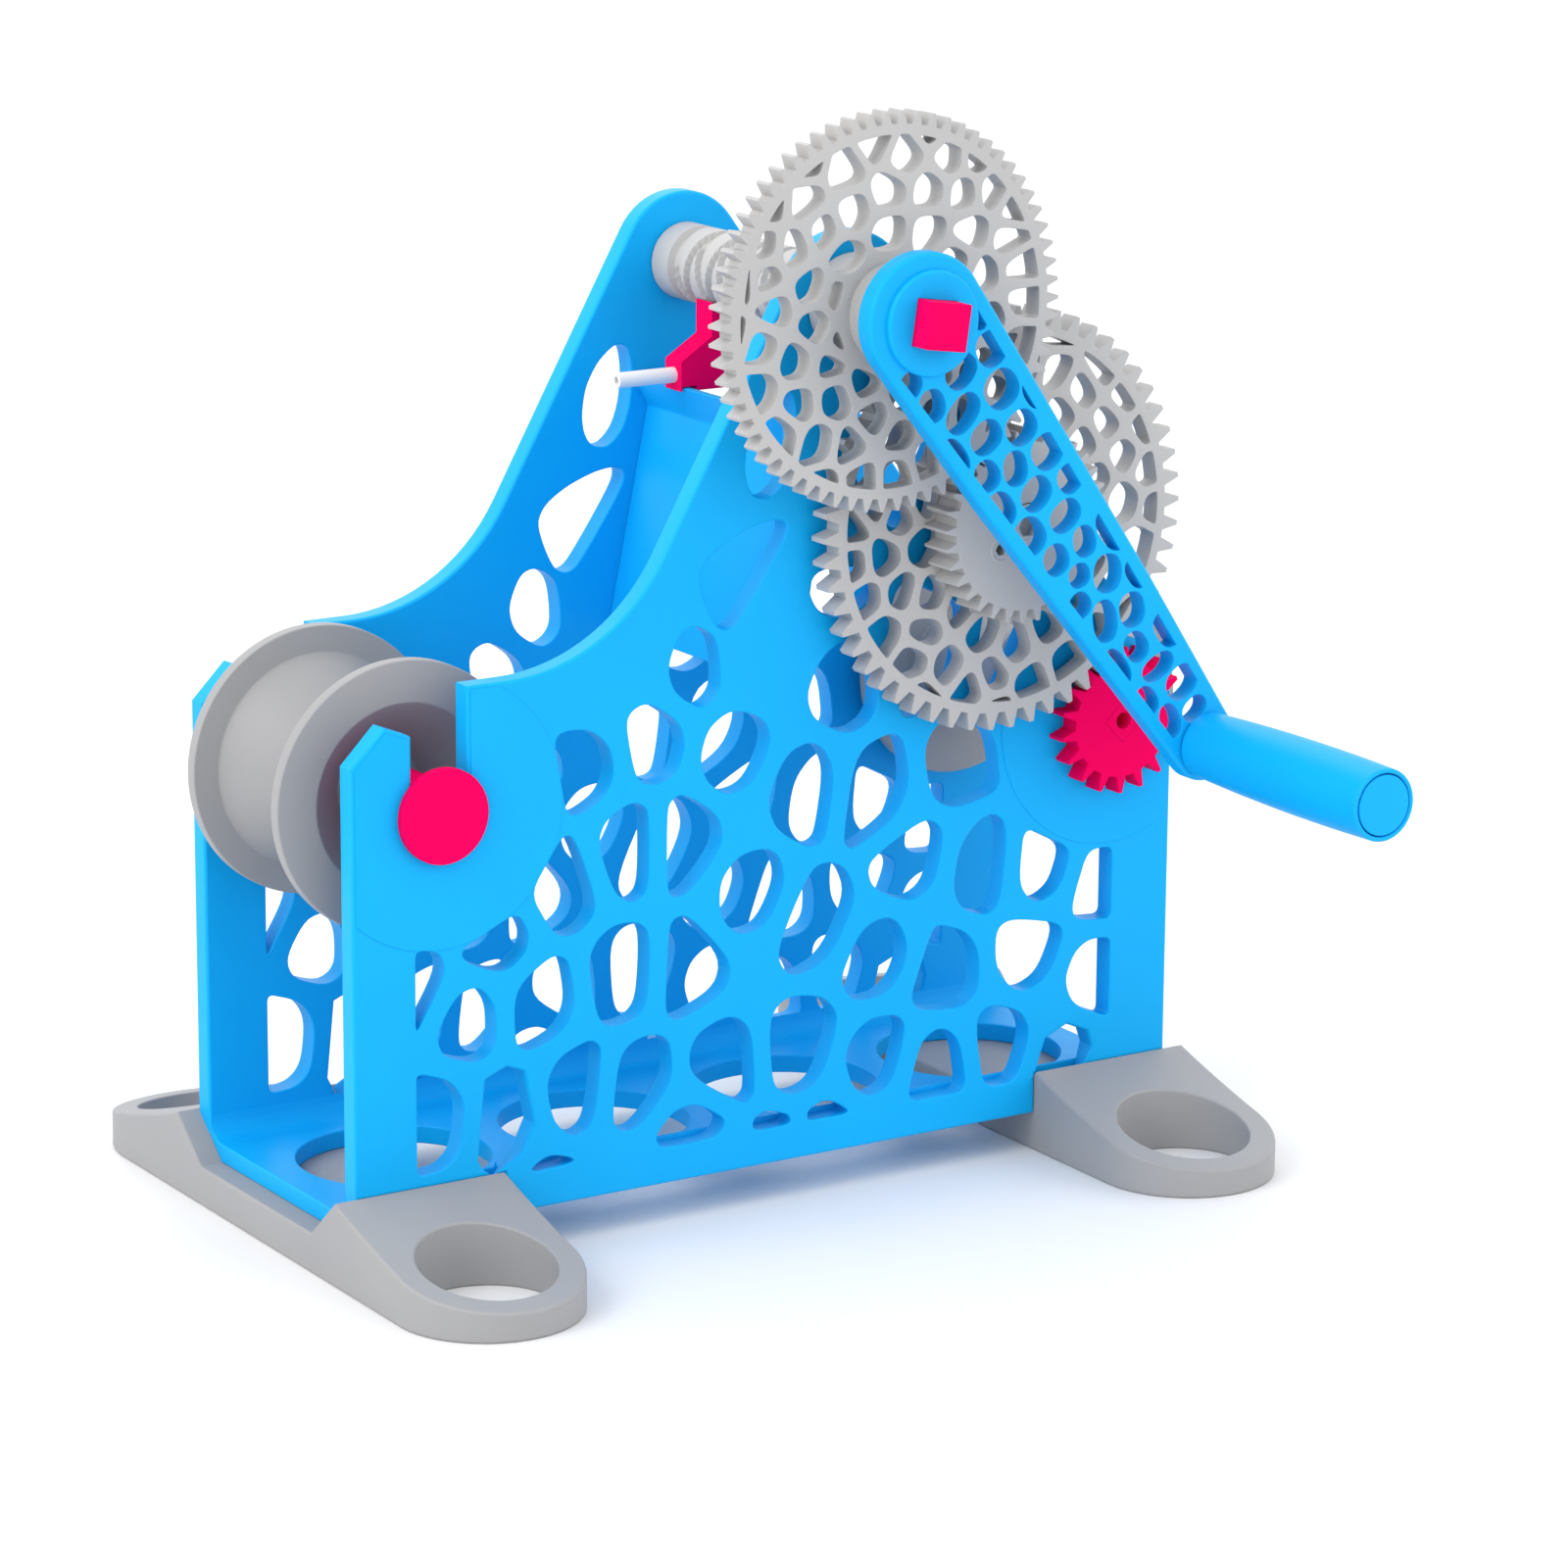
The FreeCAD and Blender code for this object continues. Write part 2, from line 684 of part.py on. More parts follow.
def reel_key_side():
    """Side of the shaft's square end, which passes through the near wall's round bore."""
    return size.shaft_square / math.sqrt(2) - size.running_clearance


def far_side_wall():
    """Wall away from the gears: bores for the barrel's stub and the take-up shaft."""
    at = places()
    running = size.running_clearance
    bores = [
        (at["crank"], size.barrel_stub_radius + running),
        (at["reel"], reel_far_radius() + running),
    ]
    return side_wall("far_side_wall", 1, bores)


def floor_tray():
    """Floor between the walls, with concave fillets up to them and round holes in a row."""
    body = new_body("floor_tray")
    inner = size.frame_width / 2 - size.wall_thickness
    fillet = size.floor_fillet
    top = size.floor_thickness
    edges = [joined((-inner, 0), (inner, 0))]
    for side in (1, -1):
        wall = (side * inner, top + fillet)
        foot = (side * (inner - fillet), top)
        bend = add((side * (inner - fillet), top + fillet), polar(fillet, -90 + side * 45))
        edges.append(joined((side * inner, 0), wall))
        edges.append(arc(wall, bend, foot))
    edges.append(joined((inner - fillet, top), (fillet - inner, top)))
    pad(body, new_sketch(body, "YZ_Plane", edges), "@frame_length", symmetric=True)
    count = int(size.floor_hole_count)
    radius = size.floor_hole_diameter / 2
    first = size.frame_length / 2 - size.floor_end_margin - radius
    pitch = 2 * first / (count - 1)
    holes = [circle(radius, (i * pitch - first, 0)) for i in range(count)]
    pocket(body, new_sketch(body, "XY_Plane", holes), "@floor_thickness", reverse=True)
    for outer in (-size.frame_width / 2, size.frame_width / 2):
        foot_grip(body, outer)
    return body


def rail_points():
    """Left face of the cross web, bottom to kink to rail top, and the rail's middle."""
    at = places()
    under_barrel = at["crank"][1] - size.carriage_drop
    slant = math.radians(size.web_slant)
    lean = math.radians(size.web_rail_lean)
    top_z = under_barrel + size.rail_groove_depth - size.free_clearance
    kink_x = at["crank"][0] - size.carriage_reach + size.web_thickness + size.web_rail_gap
    kink = (kink_x, top_z - size.web_rail_rise)
    rail = (kink[0] - size.web_rail_rise * math.tan(lean), top_z)
    foot = (kink[0] - (kink[1] - size.web_foot_height) * math.tan(slant), size.web_foot_height)
    return foot, kink, rail


def cross_web():
    """Slanted plate between the walls whose kinked top edge is the carriage's rail."""
    body = new_body("cross_web")
    foot, kink, rail = rail_points()
    deep = size.web_thickness
    slim = size.web_thickness / 2
    outline = [
        foot, kink, rail,
        (rail[0] + slim, rail[1]), (kink[0] + deep, kink[1] - slim), (foot[0] + deep, foot[1]),
    ]
    sketch = new_sketch(body, "XZ_Plane", closed_line(outline))
    pad(body, sketch, "@frame_width - 2 * @wall_thickness", symmetric=True)
    return body


def foot(label, side):
    """Clip-on foot: two round pads with a hole each, joined by a bridge that the tray sits in."""
    middle = side * (size.frame_length / 2 + size.foot_overhang - size.foot_length / 2)
    body = new_body(label, (middle, 0, -size.foot_bridge))
    half = size.foot_length / 2
    pad_y = size.frame_width / 2 + size.foot_pad_offset
    outline = [
        joined((-half, -pad_y), (-half, pad_y)), arc((-half, pad_y), (0, pad_y + half), (half, pad_y)),
        joined((half, pad_y), (half, -pad_y)), arc((half, -pad_y), (0, -pad_y - half), (-half, -pad_y)),
        circle(size.foot_hole_diameter / 2, (0, pad_y)), circle(size.foot_hole_diameter / 2, (0, -pad_y)),
    ]
    pad(body, new_sketch(body, "XY_Plane", outline), "@foot_bridge + @foot_cheek_height")
    edge_y = size.frame_width / 2
    seat_z = size.foot_bridge
    cheek_z = size.foot_bridge + size.foot_cheek_height
    tip_y = pad_y + half
    outside = tip_y + size.cut_allowance
    above = 2 * cheek_z
    profile = []
    for hand in (1, -1):
        seat = (hand * (edge_y - size.foot_cheek_width), seat_z)
        cheek = (hand * edge_y, cheek_z)
        ramp = (hand * (edge_y + size.foot_mid_offset), size.foot_mid_height)
        tip = (hand * outside, size.foot_tip_height)
        profile += [joined(seat, cheek), arc(cheek, ramp, tip), joined(tip, (hand * outside, above))]
    profile.append(joined((outside, above), (-outside, above)))
    profile.append(joined((size.foot_cheek_width - edge_y, seat_z), (edge_y - size.foot_cheek_width, seat_z)))
    pocket(body, new_sketch(body, "YZ_Plane", profile), "@foot_length + 2 * @cut_allowance", symmetric=True)
    return body


# Source spool

def axle_reach():
    """Half the distance between the inner faces of the two axle caps."""
    return size.frame_width / 2 + size.cap_gap


def source_axle():
    """Plain axle that drops into the slots, with a fixed near cap and a stub for the far cap."""
    x, z = places()["source"]
    body = new_body("source_axle", (x, 0, z))
    near, far = -axle_reach(), axle_reach()
    journal = size.journal_diameter / 2
    revolve(body, [
        (near - size.axle_cap_thickness, 0), (near - size.axle_cap_thickness, size.axle_cap_radius),
        (near, size.axle_cap_radius), (near, journal), (far, journal), (far, size.axle_end_radius),
        (far + size.axle_cap_thickness, size.axle_end_radius), (far + size.axle_cap_thickness, 0),
    ])
    return body


def source_axle_cap():
    """Far cap, pushed on the axle's stub once the spool is on."""
    x, z = places()["source"]
    body = new_body("source_axle_cap", (x, 0, z))
    far = axle_reach()
    bore = size.axle_end_radius + size.seat_clearance
    revolve(body, [
        (far, bore), (far, size.axle_cap_radius), (far + size.axle_cap_thickness, size.axle_cap_radius),
        (far + size.axle_cap_thickness, bore),
    ])
    return body


def source_spool():
    """Spool with two flanges, a core waisted by two cones, and a funnel in each outer face."""
    x, z = places()["source"]
    body = new_body("source_spool", (x, 0, z))
    half = size.spool_width / 2
    flange = half - size.spool_flange_thickness
    bore = size.journal_diameter / 2 + size.running_clearance
    lip = size.spool_funnel_radius
    wall = size.spool_flange_thickness
    floor = half - size.spool_funnel_depth
    waist = size.spool_waist_width / 2
    right = [
        (waist, size.spool_waist_radius), (flange, size.spool_cone_radius),
        (flange, size.spool_flange_radius), (half, size.spool_flange_radius), (half, lip),
        (floor, bore + wall), (floor, bore),
    ]
    left = [(-y, radius) for y, radius in reversed(right)]
    revolve(body, right + left)
    return body


# Take-up spool

def take_up_shaft():
    """Shaft from the far head through both walls: square inside the spool, square under the pinion."""
    x, z = places()["reel"]
    body = new_body("take_up_shaft", (x, 0, z))
    outer = size.frame_width / 2
    inner = outer - size.wall_thickness
    head = outer + size.cap_gap
    far = reel_far_radius()
    near = size.shaft_square / 2
    revolve(body, [
        (inner, 0), (inner, far), (head, far), (head, size.shaft_head_radius),
        (head + size.shaft_head_thickness, size.shaft_head_radius), (head + size.shaft_head_thickness, 0),
    ])
    middle = new_sketch(body, "XZ_Plane", square(size.shaft_square, 45), "@wall_thickness - @frame_width / 2")
    pad(body, middle, "@frame_width - 2 * @wall_thickness")
    journal = new_sketch(body, "XZ_Plane", [circle(near)], "@frame_width / 2 - @wall_thickness")
    pad(body, journal, "@wall_thickness + @cap_gap")
    key = new_sketch(body, "XZ_Plane", square(reel_key_side()), "@frame_width / 2 + @cap_gap")
    pad(body, key, "@drive_pinion_thickness")
    pilot = new_sketch(
        body, "XZ_Plane", [circle(size.shaft_pilot_diameter / 2)],
        "@frame_width / 2 + @cap_gap + @drive_pinion_thickness",
    )
    pocket(body, pilot, "@shaft_pilot_depth")
    return body


def drive_pinion():
    """Pinion on the take-up shaft's square end."""
    x, z = places()["reel"]
    body = new_body("drive_pinion", (x, 0, z))
    key = reel_key_side() + 2 * size.seat_clearance
    edges = gear_outline(size.coarse_module, size.drive_pinion_teeth, phases()["drive_pinion"]) + square(key)
    sketch = new_sketch(body, "XZ_Plane", edges, "@frame_width / 2 + @cap_gap")
    pad(body, sketch, "@drive_pinion_thickness")
    return body


def take_up_spool():
    """Spool with thin flanges and a round core with a square bore."""
    x, z = places()["reel"]
    body = new_body("take_up_spool", (x, 0, z))
    half = size.reel_width / 2
    flange = half - size.reel_flange_thickness
    revolve(body, [
        (-half, 0), (-half, size.reel_flange_radius), (-flange, size.reel_flange_radius),
        (-flange, size.reel_hub_radius), (flange, size.reel_hub_radius), (flange, size.reel_flange_radius),
        (half, size.reel_flange_radius), (half, 0),
    ])
    bore = square(size.shaft_square + 2 * size.seat_clearance, 45)
    pocket(body, new_sketch(body, "XZ_Plane", bore), "@reel_width + 2 * @cut_allowance", symmetric=True)
    return body


# Gear train

def phases():
    """Phase of every gear, so that all are in mesh; the crank gear has a gap straight down."""
    crank = -90 + 180 / size.crank_gear_teeth
    small = mesh_phase(crank, size.crank_gear_teeth, size.idler_pinion_teeth, -size.train_angle_crank)
    large = -90 + 180 / size.idler_gear_teeth
    drive = mesh_phase(large, size.idler_gear_teeth, size.drive_pinion_teeth, -size.train_angle_reel)
    return {"crank_gear": crank, "idler_pinion": small, "idler_gear": large, "drive_pinion": drive}


def crank_gear():
    """Large gear with a lattice web and a hub that reaches from the wall to the crank arm."""
    x, z = places()["crank"]
    body = new_body("crank_gear", (x, 0, z))
    module = size.fine_module
    rim = module * (size.crank_gear_teeth / 2 - size.gear_root_modules) - size.gear_rim
    bore = square(size.crank_square + 2 * size.seat_clearance, -size.crank_angle)
    edges = gear_outline(module, size.crank_gear_teeth, phases()["crank_gear"])
    edges += gear_lattice(CRANK_GEAR_CELLS, size.crank_hub_radius, rim) + bore
    pad(body, new_sketch(body, "XZ_Plane", edges, "@frame_width / 2 + @crank_gear_gap"), "@gear_thickness")
    hub = [circle(size.crank_hub_radius)] + bore
    pad(
        body, new_sketch(body, "XZ_Plane", hub, "@frame_width / 2 + @cap_gap"),
        "@crank_gear_gap + @gear_thickness + @crank_hub_length - @cap_gap",
    )
    return body


def idler_gear():
    """Large idler gear with a lattice web and a square hole for the small gear's spigot."""
    x, z = places()["idler"]
    body = new_body("idler_gear", (x, 0, z))
    module = size.coarse_module
    rim = module * (size.idler_gear_teeth / 2 - size.gear_root_modules) - size.gear_rim
    edges = gear_outline(module, size.idler_gear_teeth, phases()["idler_gear"])
    edges += gear_lattice(IDLER_GEAR_CELLS, size.idler_hub_radius, rim)
    edges += square(size.idler_spigot_square + 2 * size.seat_clearance, 45)
    pad(body, new_sketch(body, "XZ_Plane", edges, "@frame_width / 2 + @idler_gap"), "@gear_thickness")
    hub = [circle(size.idler_hub_radius)] + square(size.idler_spigot_square + 2 * size.seat_clearance, 45)
    pad(body, new_sketch(body, "XZ_Plane", hub, "@frame_width / 2 + @cap_gap"), "@idler_gap - @cap_gap")
    return body


def idler_pinion():
    """Small gear on the idler gear's face, with a square spigot through it and a sunk seat for the head."""
    x, z = places()["idler"]
    body = new_body("idler_pinion", (x, 0, z))
    bore = size.idler_axle_diameter / 2 + size.running_clearance
    edges = gear_outline(size.fine_module, size.idler_pinion_teeth, phases()["idler_pinion"]) + [circle(bore)]
    face = "@frame_width / 2 + @idler_gap + @gear_thickness"
    pad(body, new_sketch(body, "XZ_Plane", edges, face), "@idler_pinion_thickness")
    spigot = square(size.idler_spigot_square, 45) + [circle(bore)]
    back = new_sketch(body, "XZ_Plane", spigot, "@frame_width / 2 + @cap_gap")
    pad(body, back, "@idler_gap + @gear_thickness - @cap_gap")
    seat = [circle(size.idler_head_radius + size.free_clearance)]
    front = new_sketch(body, "XZ_Plane", seat, face + " + @idler_pinion_thickness")
    pocket(body, front, "@idler_head_thickness + @free_clearance")
    return body


def idler_front():
    """Y of the small idler gear's front face."""
    return -(size.frame_width / 2 + size.idler_gap + size.gear_thickness + size.idler_pinion_thickness)


def clip_back():
    """Y of the clip groove's outer side, just inside the near wall."""
    return -size.frame_width / 2 + size.wall_thickness + size.seat_clearance


def idler_axle():
    """Pin with a flush head and a hexagon socket, held in the near wall by a clip on its inner end."""
    x, z = places()["idler"]
    body = new_body("idler_axle", (x, 0, z))
    radius = size.idler_axle_diameter / 2
    front = idler_front()
    slot = clip_back()
    slot_end = slot + size.idler_clip_thickness + 2 * size.seat_clearance
    neck = radius - size.idler_clip_groove
    tail = slot_end + size.idler_tail
    revolve(body, [
        (front, 0), (front, size.idler_head_radius),
        (front + size.idler_head_thickness, size.idler_head_radius),
        (front + size.idler_head_thickness, radius), (slot, radius), (slot, neck), (slot_end, neck),
        (slot_end, radius), (tail, radius), (tail, 0),
    ])
    hexagon = closed_line([polar(size.idler_hex_size / math.sqrt(3), 60 * i) for i in range(6)])
    socket = new_sketch(
        body, "XZ_Plane", hexagon,
        "@frame_width / 2 + @idler_gap + @gear_thickness + @idler_pinion_thickness",
    )
    pocket(body, socket, "@idler_hex_depth")
    return body


def idler_clip():
    """Open ring that snaps into the idler axle's groove behind the wall."""
    x, z = places()["idler"]
    body = new_body("idler_clip", (x, 0, z))
    inner = size.idler_axle_diameter / 2 - size.idler_clip_groove + size.seat_clearance
    outer = size.idler_clip_radius
    mouth = size.idler_clip_mouth
    edges = [
        arc(polar(outer, -90 + mouth), polar(outer, 90), polar(outer, 270 - mouth)),
        arc(polar(inner, -90 + mouth), polar(inner, 90), polar(inner, 270 - mouth)),
        joined(polar(inner, -90 + mouth), polar(outer, -90 + mouth)),
        joined(polar(inner, 270 - mouth), polar(outer, 270 - mouth)),
    ]
    offset = "@frame_width / 2 - @wall_thickness - 2 * @seat_clearance - @idler_clip_thickness"
    pad(body, new_sketch(body, "XZ_Plane", edges, offset), "@idler_clip_thickness")
    return body


# Crank and level-wind barrel

def arm_front():
    """Expression for the distance of the crank arm's back face from the middle plane."""
    return "@frame_width / 2 + @crank_gear_gap + @gear_thickness + @crank_hub_length"


def arm_front_y():
    """Y of the crank arm's front face."""
    back = size.frame_width / 2 + size.crank_gear_gap + size.gear_thickness + size.crank_hub_length
    return -(back + size.crank_arm_thickness)


def crank_shaft():
    """Square bar through the crank arm and the gear into the barrel."""
    x, z = places()["crank"]
    body = new_body("crank_shaft", (x, 0, z))
    inside = "(@frame_width / 2 - @crank_socket_depth + @seat_clearance)"
    sketch = new_sketch(body, "XZ_Plane", square(size.crank_square, -size.crank_angle), inside)
    end = f"{arm_front()} + @crank_arm_thickness + @crank_boss_height + @crank_square_end"
    pad(body, sketch, f"{end} - {inside}")
    return body


def barrel_cam():
    """Barrel with two crossed helical grooves joined at both ends, a stub, and a square socket."""
    x, z = places()["crank"]
    body = new_body("barrel_cam", (x, 0, z))
    outer = size.frame_width / 2
    inner = outer - size.wall_thickness
    revolve(body, [
        (-outer, 0), (-outer, size.barrel_radius), (inner - size.cap_gap, size.barrel_radius),
        (inner - size.cap_gap, size.barrel_stub_radius), (outer, size.barrel_stub_radius), (outer, 0),
    ])
    lead = winding_lead()
    travel = size.groove_turns * lead
    wide, narrow = size.groove_width / 2, size.groove_floor_width / 2
    top, bottom = size.barrel_radius + size.cut_allowance, size.barrel_radius - size.groove_depth
    start = -travel / 2
    for left_handed in (False, True):
        section = closed_line([
            (start - wide, top), (start + wide, top), (start + narrow, bottom), (start - narrow, bottom),
        ])
        sketch = new_sketch(body, "YZ_Plane", section)
        helix = body.newObject("PartDesign::SubtractiveHelix", "barrel_cam_helix")
        helix.Profile = sketch
        helix.ReferenceAxis = (sketch, ["H_Axis"])
        helix.Mode = "pitch-height-angle"
        helix.Pitch = lead
        helix.Height = travel
        helix.LeftHanded = left_handed
        sketch.Visibility = False
    for end in (start, start + travel):
        groove(body, [(end - wide, top), (end + wide, top), (end + narrow, bottom), (end - narrow, bottom)])
    socket = square(size.crank_square + 2 * size.seat_clearance, -size.crank_angle)
    pocket(body, new_sketch(body, "XZ_Plane", socket, "@frame_width / 2"), "@crank_socket_depth")
    return body


def crank_arm():
    """Tapered arm with a lattice between plain borders, a raised round boss and a square hole."""
    x, z = places()["crank"]
    body = new_body("crank_arm", (x, 0, z), size.crank_angle)
    length, head, end = size.crank_length, size.crank_head_radius, size.crank_end_radius
    taper = math.degrees(math.acos((head - end) / length))
    head_top, head_low = polar(head, taper), polar(head, -taper)
    end_top, end_low = add((length, 0), polar(end, taper)), add((length, 0), polar(end, -taper))
    edges = [
        arc(head_top, (-head, 0), head_low), joined(head_low, end_low),
        arc(end_low, (length + end, 0), end_top), joined(end_top, head_top),
        circle(size.handle_pin_radius + size.seat_clearance, (length, 0)),
    ]
    bore = square(size.crank_square + 2 * size.seat_clearance)

    def borders_of(cell):
        sides = [(polar(1, taper), head - size.crank_border), (polar(1, -taper), head - size.crank_border)]
        boss = clear_of(cell, (0, 0), size.crank_boss_radius + size.crank_head_ring)
        return sides + [boss, clear_of(cell, (length, 0), size.handle_base_radius)]

    edges += lattice(CRANK_CELLS, borders_of, size.crank_rib, size.crank_hole_area)
    pad(body, new_sketch(body, "XZ_Plane", edges + bore, arm_front()), "@crank_arm_thickness")
    boss = [circle(size.crank_boss_radius)] + bore
    pad(body, new_sketch(body, "XZ_Plane", boss, arm_front() + " + @crank_arm_thickness"), "@crank_boss_height")
    return body


def handle_axis():
    """Place of the handle's axis (x, z)."""
    return add(places()["crank"], polar(size.crank_length, -size.crank_angle))


def handle_pin():
    """Pin pressed into the crank arm, with a flat head sunk in the grip's end."""
    x, z = handle_axis()
    body = new_body("handle_pin", (x, 0, z))
    face = arm_front_y()
    tip = face - size.handle_gap - size.handle_length
    radius = size.handle_pin_radius
    revolve(body, [
        (face + size.crank_arm_thickness, 0), (face + size.crank_arm_thickness, radius),
        (tip + size.handle_head_thickness, radius), (tip + size.handle_head_thickness, size.handle_head_radius),
        (tip, size.handle_head_radius), (tip, 0),
    ])
    return body


def handle_grip():
    """Slightly swollen sleeve that turns on the handle pin."""
    x, z = handle_axis()
    body = new_body("handle_grip", (x, 0, z))
    root = arm_front_y() - size.handle_gap
    tip = root - size.handle_length
    bore = size.handle_pin_radius + size.running_clearance
    seat = size.handle_head_radius + size.free_clearance
    step = tip + size.handle_head_thickness + size.free_clearance
    middle = (root + tip) / 2
    revolve(body, [
        (root, bore), (root, size.handle_base_radius), (middle, size.handle_waist_radius),
        (tip, size.handle_end_radius), (tip, seat), (step, seat), (step, bore),
    ])
    return body


# Carriage

def carriage():
    """Filament carriage: saddle under the barrel, nose with the guide tube, groove over the rail."""
    x, z = places()["crank"]
    body = new_body("carriage", (x, size.carriage_offset, z))
    saddle = size.barrel_radius + size.free_clearance
    neck, reach = size.carriage_neck, size.carriage_reach
    half_angle = math.degrees(math.asin(neck / saddle))
    shoulder_left, shoulder_right = polar(saddle, -90 - half_angle), polar(saddle, -90 + half_angle)
    low = -size.carriage_drop
    rail = rail_points()[2]
    rail_left = rail[0] - x - size.free_clearance
    rail_right = rail_left + size.web_thickness / 2 + 2 * size.free_clearance + size.rail_groove_depth
    ridge = low + size.rail_groove_depth
    nose_top = low + size.carriage_nose_height
    points = [
        shoulder_right, (neck, low), (rail_right, low), (rail_right, ridge), (rail_left, ridge), (rail_left, low),
        (-reach, low), (-reach, nose_top), (-neck, -size.carriage_neck_drop), shoulder_left,
    ]
    edges = [joined(points[i], points[i + 1]) for i in range(len(points) - 1)]
    edges.append(arc(shoulder_left, (0, -saddle), shoulder_right))
    pad(body, new_sketch(body, "XZ_Plane", edges), "@carriage_thickness", symmetric=True)
    tube = [circle(size.tube_radius + size.seat_clearance, (0, -size.tube_drop))]
    pocket(body, new_sketch(body, "YZ_Plane", tube), "2 * (@carriage_reach + @cut_allowance)", symmetric=True)
    pin = [circle(size.follower_radius + size.seat_clearance)]
    pocket(
        body, new_sketch(body, "XY_Plane", pin, "-@barrel_radius - @free_clearance"),
        "@follower_length",
    )
    return body


def follower_pin():
    """Upright pin in the carriage whose round tip meets the barrel."""
    x, z = places()["crank"]
    body = new_body("follower_pin", (x, size.carriage_offset, z))
    top = "-@barrel_radius - @free_clearance - @follower_length"
    pad(body, new_sketch(body, "XY_Plane", [circle(size.follower_radius)], top), "@follower_length")
    return body


def guide_tube():
    """Straight tube through the carriage that leads the filament in."""
    x, z = places()["crank"]
    body = new_body("guide_tube", (x, size.carriage_offset, z))
    rings = [circle(size.tube_radius, (0, -size.tube_drop)), circle(size.tube_bore_radius, (0, -size.tube_drop))]
    sketch = new_sketch(body, "YZ_Plane", rings, "-@carriage_reach - @tube_reach")
    pad(body, sketch, "@carriage_reach + @tube_reach + @carriage_neck")
    return body


def check(parts):
    """Stop where any object failed or any sub-part has no sound shape."""
    for thing in doc.Objects:
        for state in thing.State:
            if state in ("Invalid", "Error"):
                raise RuntimeError(f"{thing.Label} is {state}")
    for part in parts:
        if part.Shape.isNull() or not part.Shape.isValid() or not part.Shape.Solids:
            raise RuntimeError(f"{part.Label} has no sound shape")


def main():
    """Build every sub-part, check it and write its file."""
    fill_sheet()
    parts = [
        near_side_wall(), far_side_wall(), floor_tray(), cross_web(), foot("left_foot", -1), foot("right_foot", 1),
        source_axle(), source_axle_cap(), source_spool(), take_up_shaft(), drive_pinion(), take_up_spool(),
        crank_gear(), idler_gear(), idler_pinion(), idler_axle(), idler_clip(), crank_shaft(), barrel_cam(),
        crank_arm(), handle_pin(), handle_grip(), carriage(), follower_pin(), guide_tube(),
    ]
    doc.recompute()
    check(parts)
    os.makedirs("parts", exist_ok=True)
    for part in parts:
        part.Shape.exportStep(f"parts/{part.Label}.step")


main()
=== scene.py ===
"""Looks of a hand-cranked filament spool winder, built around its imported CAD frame.

Lengths are millimetres and angles are degrees, unless a name or a comment says otherwise.
"""

import json
import logging
import math
from dataclasses import dataclass, field
from enum import Enum
from typing import Callable, Sequence

import bmesh
import bpy
from mathutils import Matrix, Vector
from mathutils.geometry import tessellate_polygon

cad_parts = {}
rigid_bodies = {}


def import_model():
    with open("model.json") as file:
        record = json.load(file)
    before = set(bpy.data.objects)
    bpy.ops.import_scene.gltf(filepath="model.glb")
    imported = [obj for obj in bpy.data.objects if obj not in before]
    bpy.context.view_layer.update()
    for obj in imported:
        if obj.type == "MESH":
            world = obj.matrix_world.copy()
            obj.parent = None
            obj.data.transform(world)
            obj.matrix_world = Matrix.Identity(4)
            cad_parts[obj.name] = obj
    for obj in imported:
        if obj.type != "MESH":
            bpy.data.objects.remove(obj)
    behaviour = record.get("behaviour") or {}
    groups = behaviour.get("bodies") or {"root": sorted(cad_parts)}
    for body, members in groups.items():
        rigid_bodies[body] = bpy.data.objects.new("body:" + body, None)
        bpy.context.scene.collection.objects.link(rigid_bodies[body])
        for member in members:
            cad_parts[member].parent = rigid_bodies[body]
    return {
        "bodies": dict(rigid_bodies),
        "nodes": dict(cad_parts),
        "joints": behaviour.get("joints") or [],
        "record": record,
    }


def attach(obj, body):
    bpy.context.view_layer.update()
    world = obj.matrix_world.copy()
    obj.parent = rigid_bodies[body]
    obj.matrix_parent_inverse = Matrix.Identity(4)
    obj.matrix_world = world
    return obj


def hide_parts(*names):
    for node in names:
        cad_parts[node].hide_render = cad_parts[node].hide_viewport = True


Point = tuple[float, float]
Triple = tuple[float, float, float]
Loop = list[Point]

LOG = logging.getLogger("winder")
# Metres in a millimetre.
MM = 0.001
# Turn that sets a plan upright: its own Y becomes the frame's Z, and its levels run along -Y.
UPRIGHT = Matrix.Rotation(math.radians(90), 4, "X")
# Distances in metres under which points are merged, in a new mesh and in a copy that is only read.
WELD, READ_WELD = 2e-6, 1e-6
# Distance under which two places are one.
TOUCH = 0.02
# How far a rounding's curve is drawn towards its corner, from 0 to 1.
FULLNESS = 0.76
# Exponent of an oval: 1 is an ellipse, and less is fuller.
OVAL_POWER = 0.87
# Least cosine of half a corner's turn that a mitre counts with, so that it doesn't run away.
LEAST_MITRE = 0.4
# Gap between a turning part and what it turns beside.
GAP = 0.3
# Slack of a comparison.
HAIR = 1e-6
# Angle up to which neighbouring faces are one.
FLAT = 1.0


# Finishes


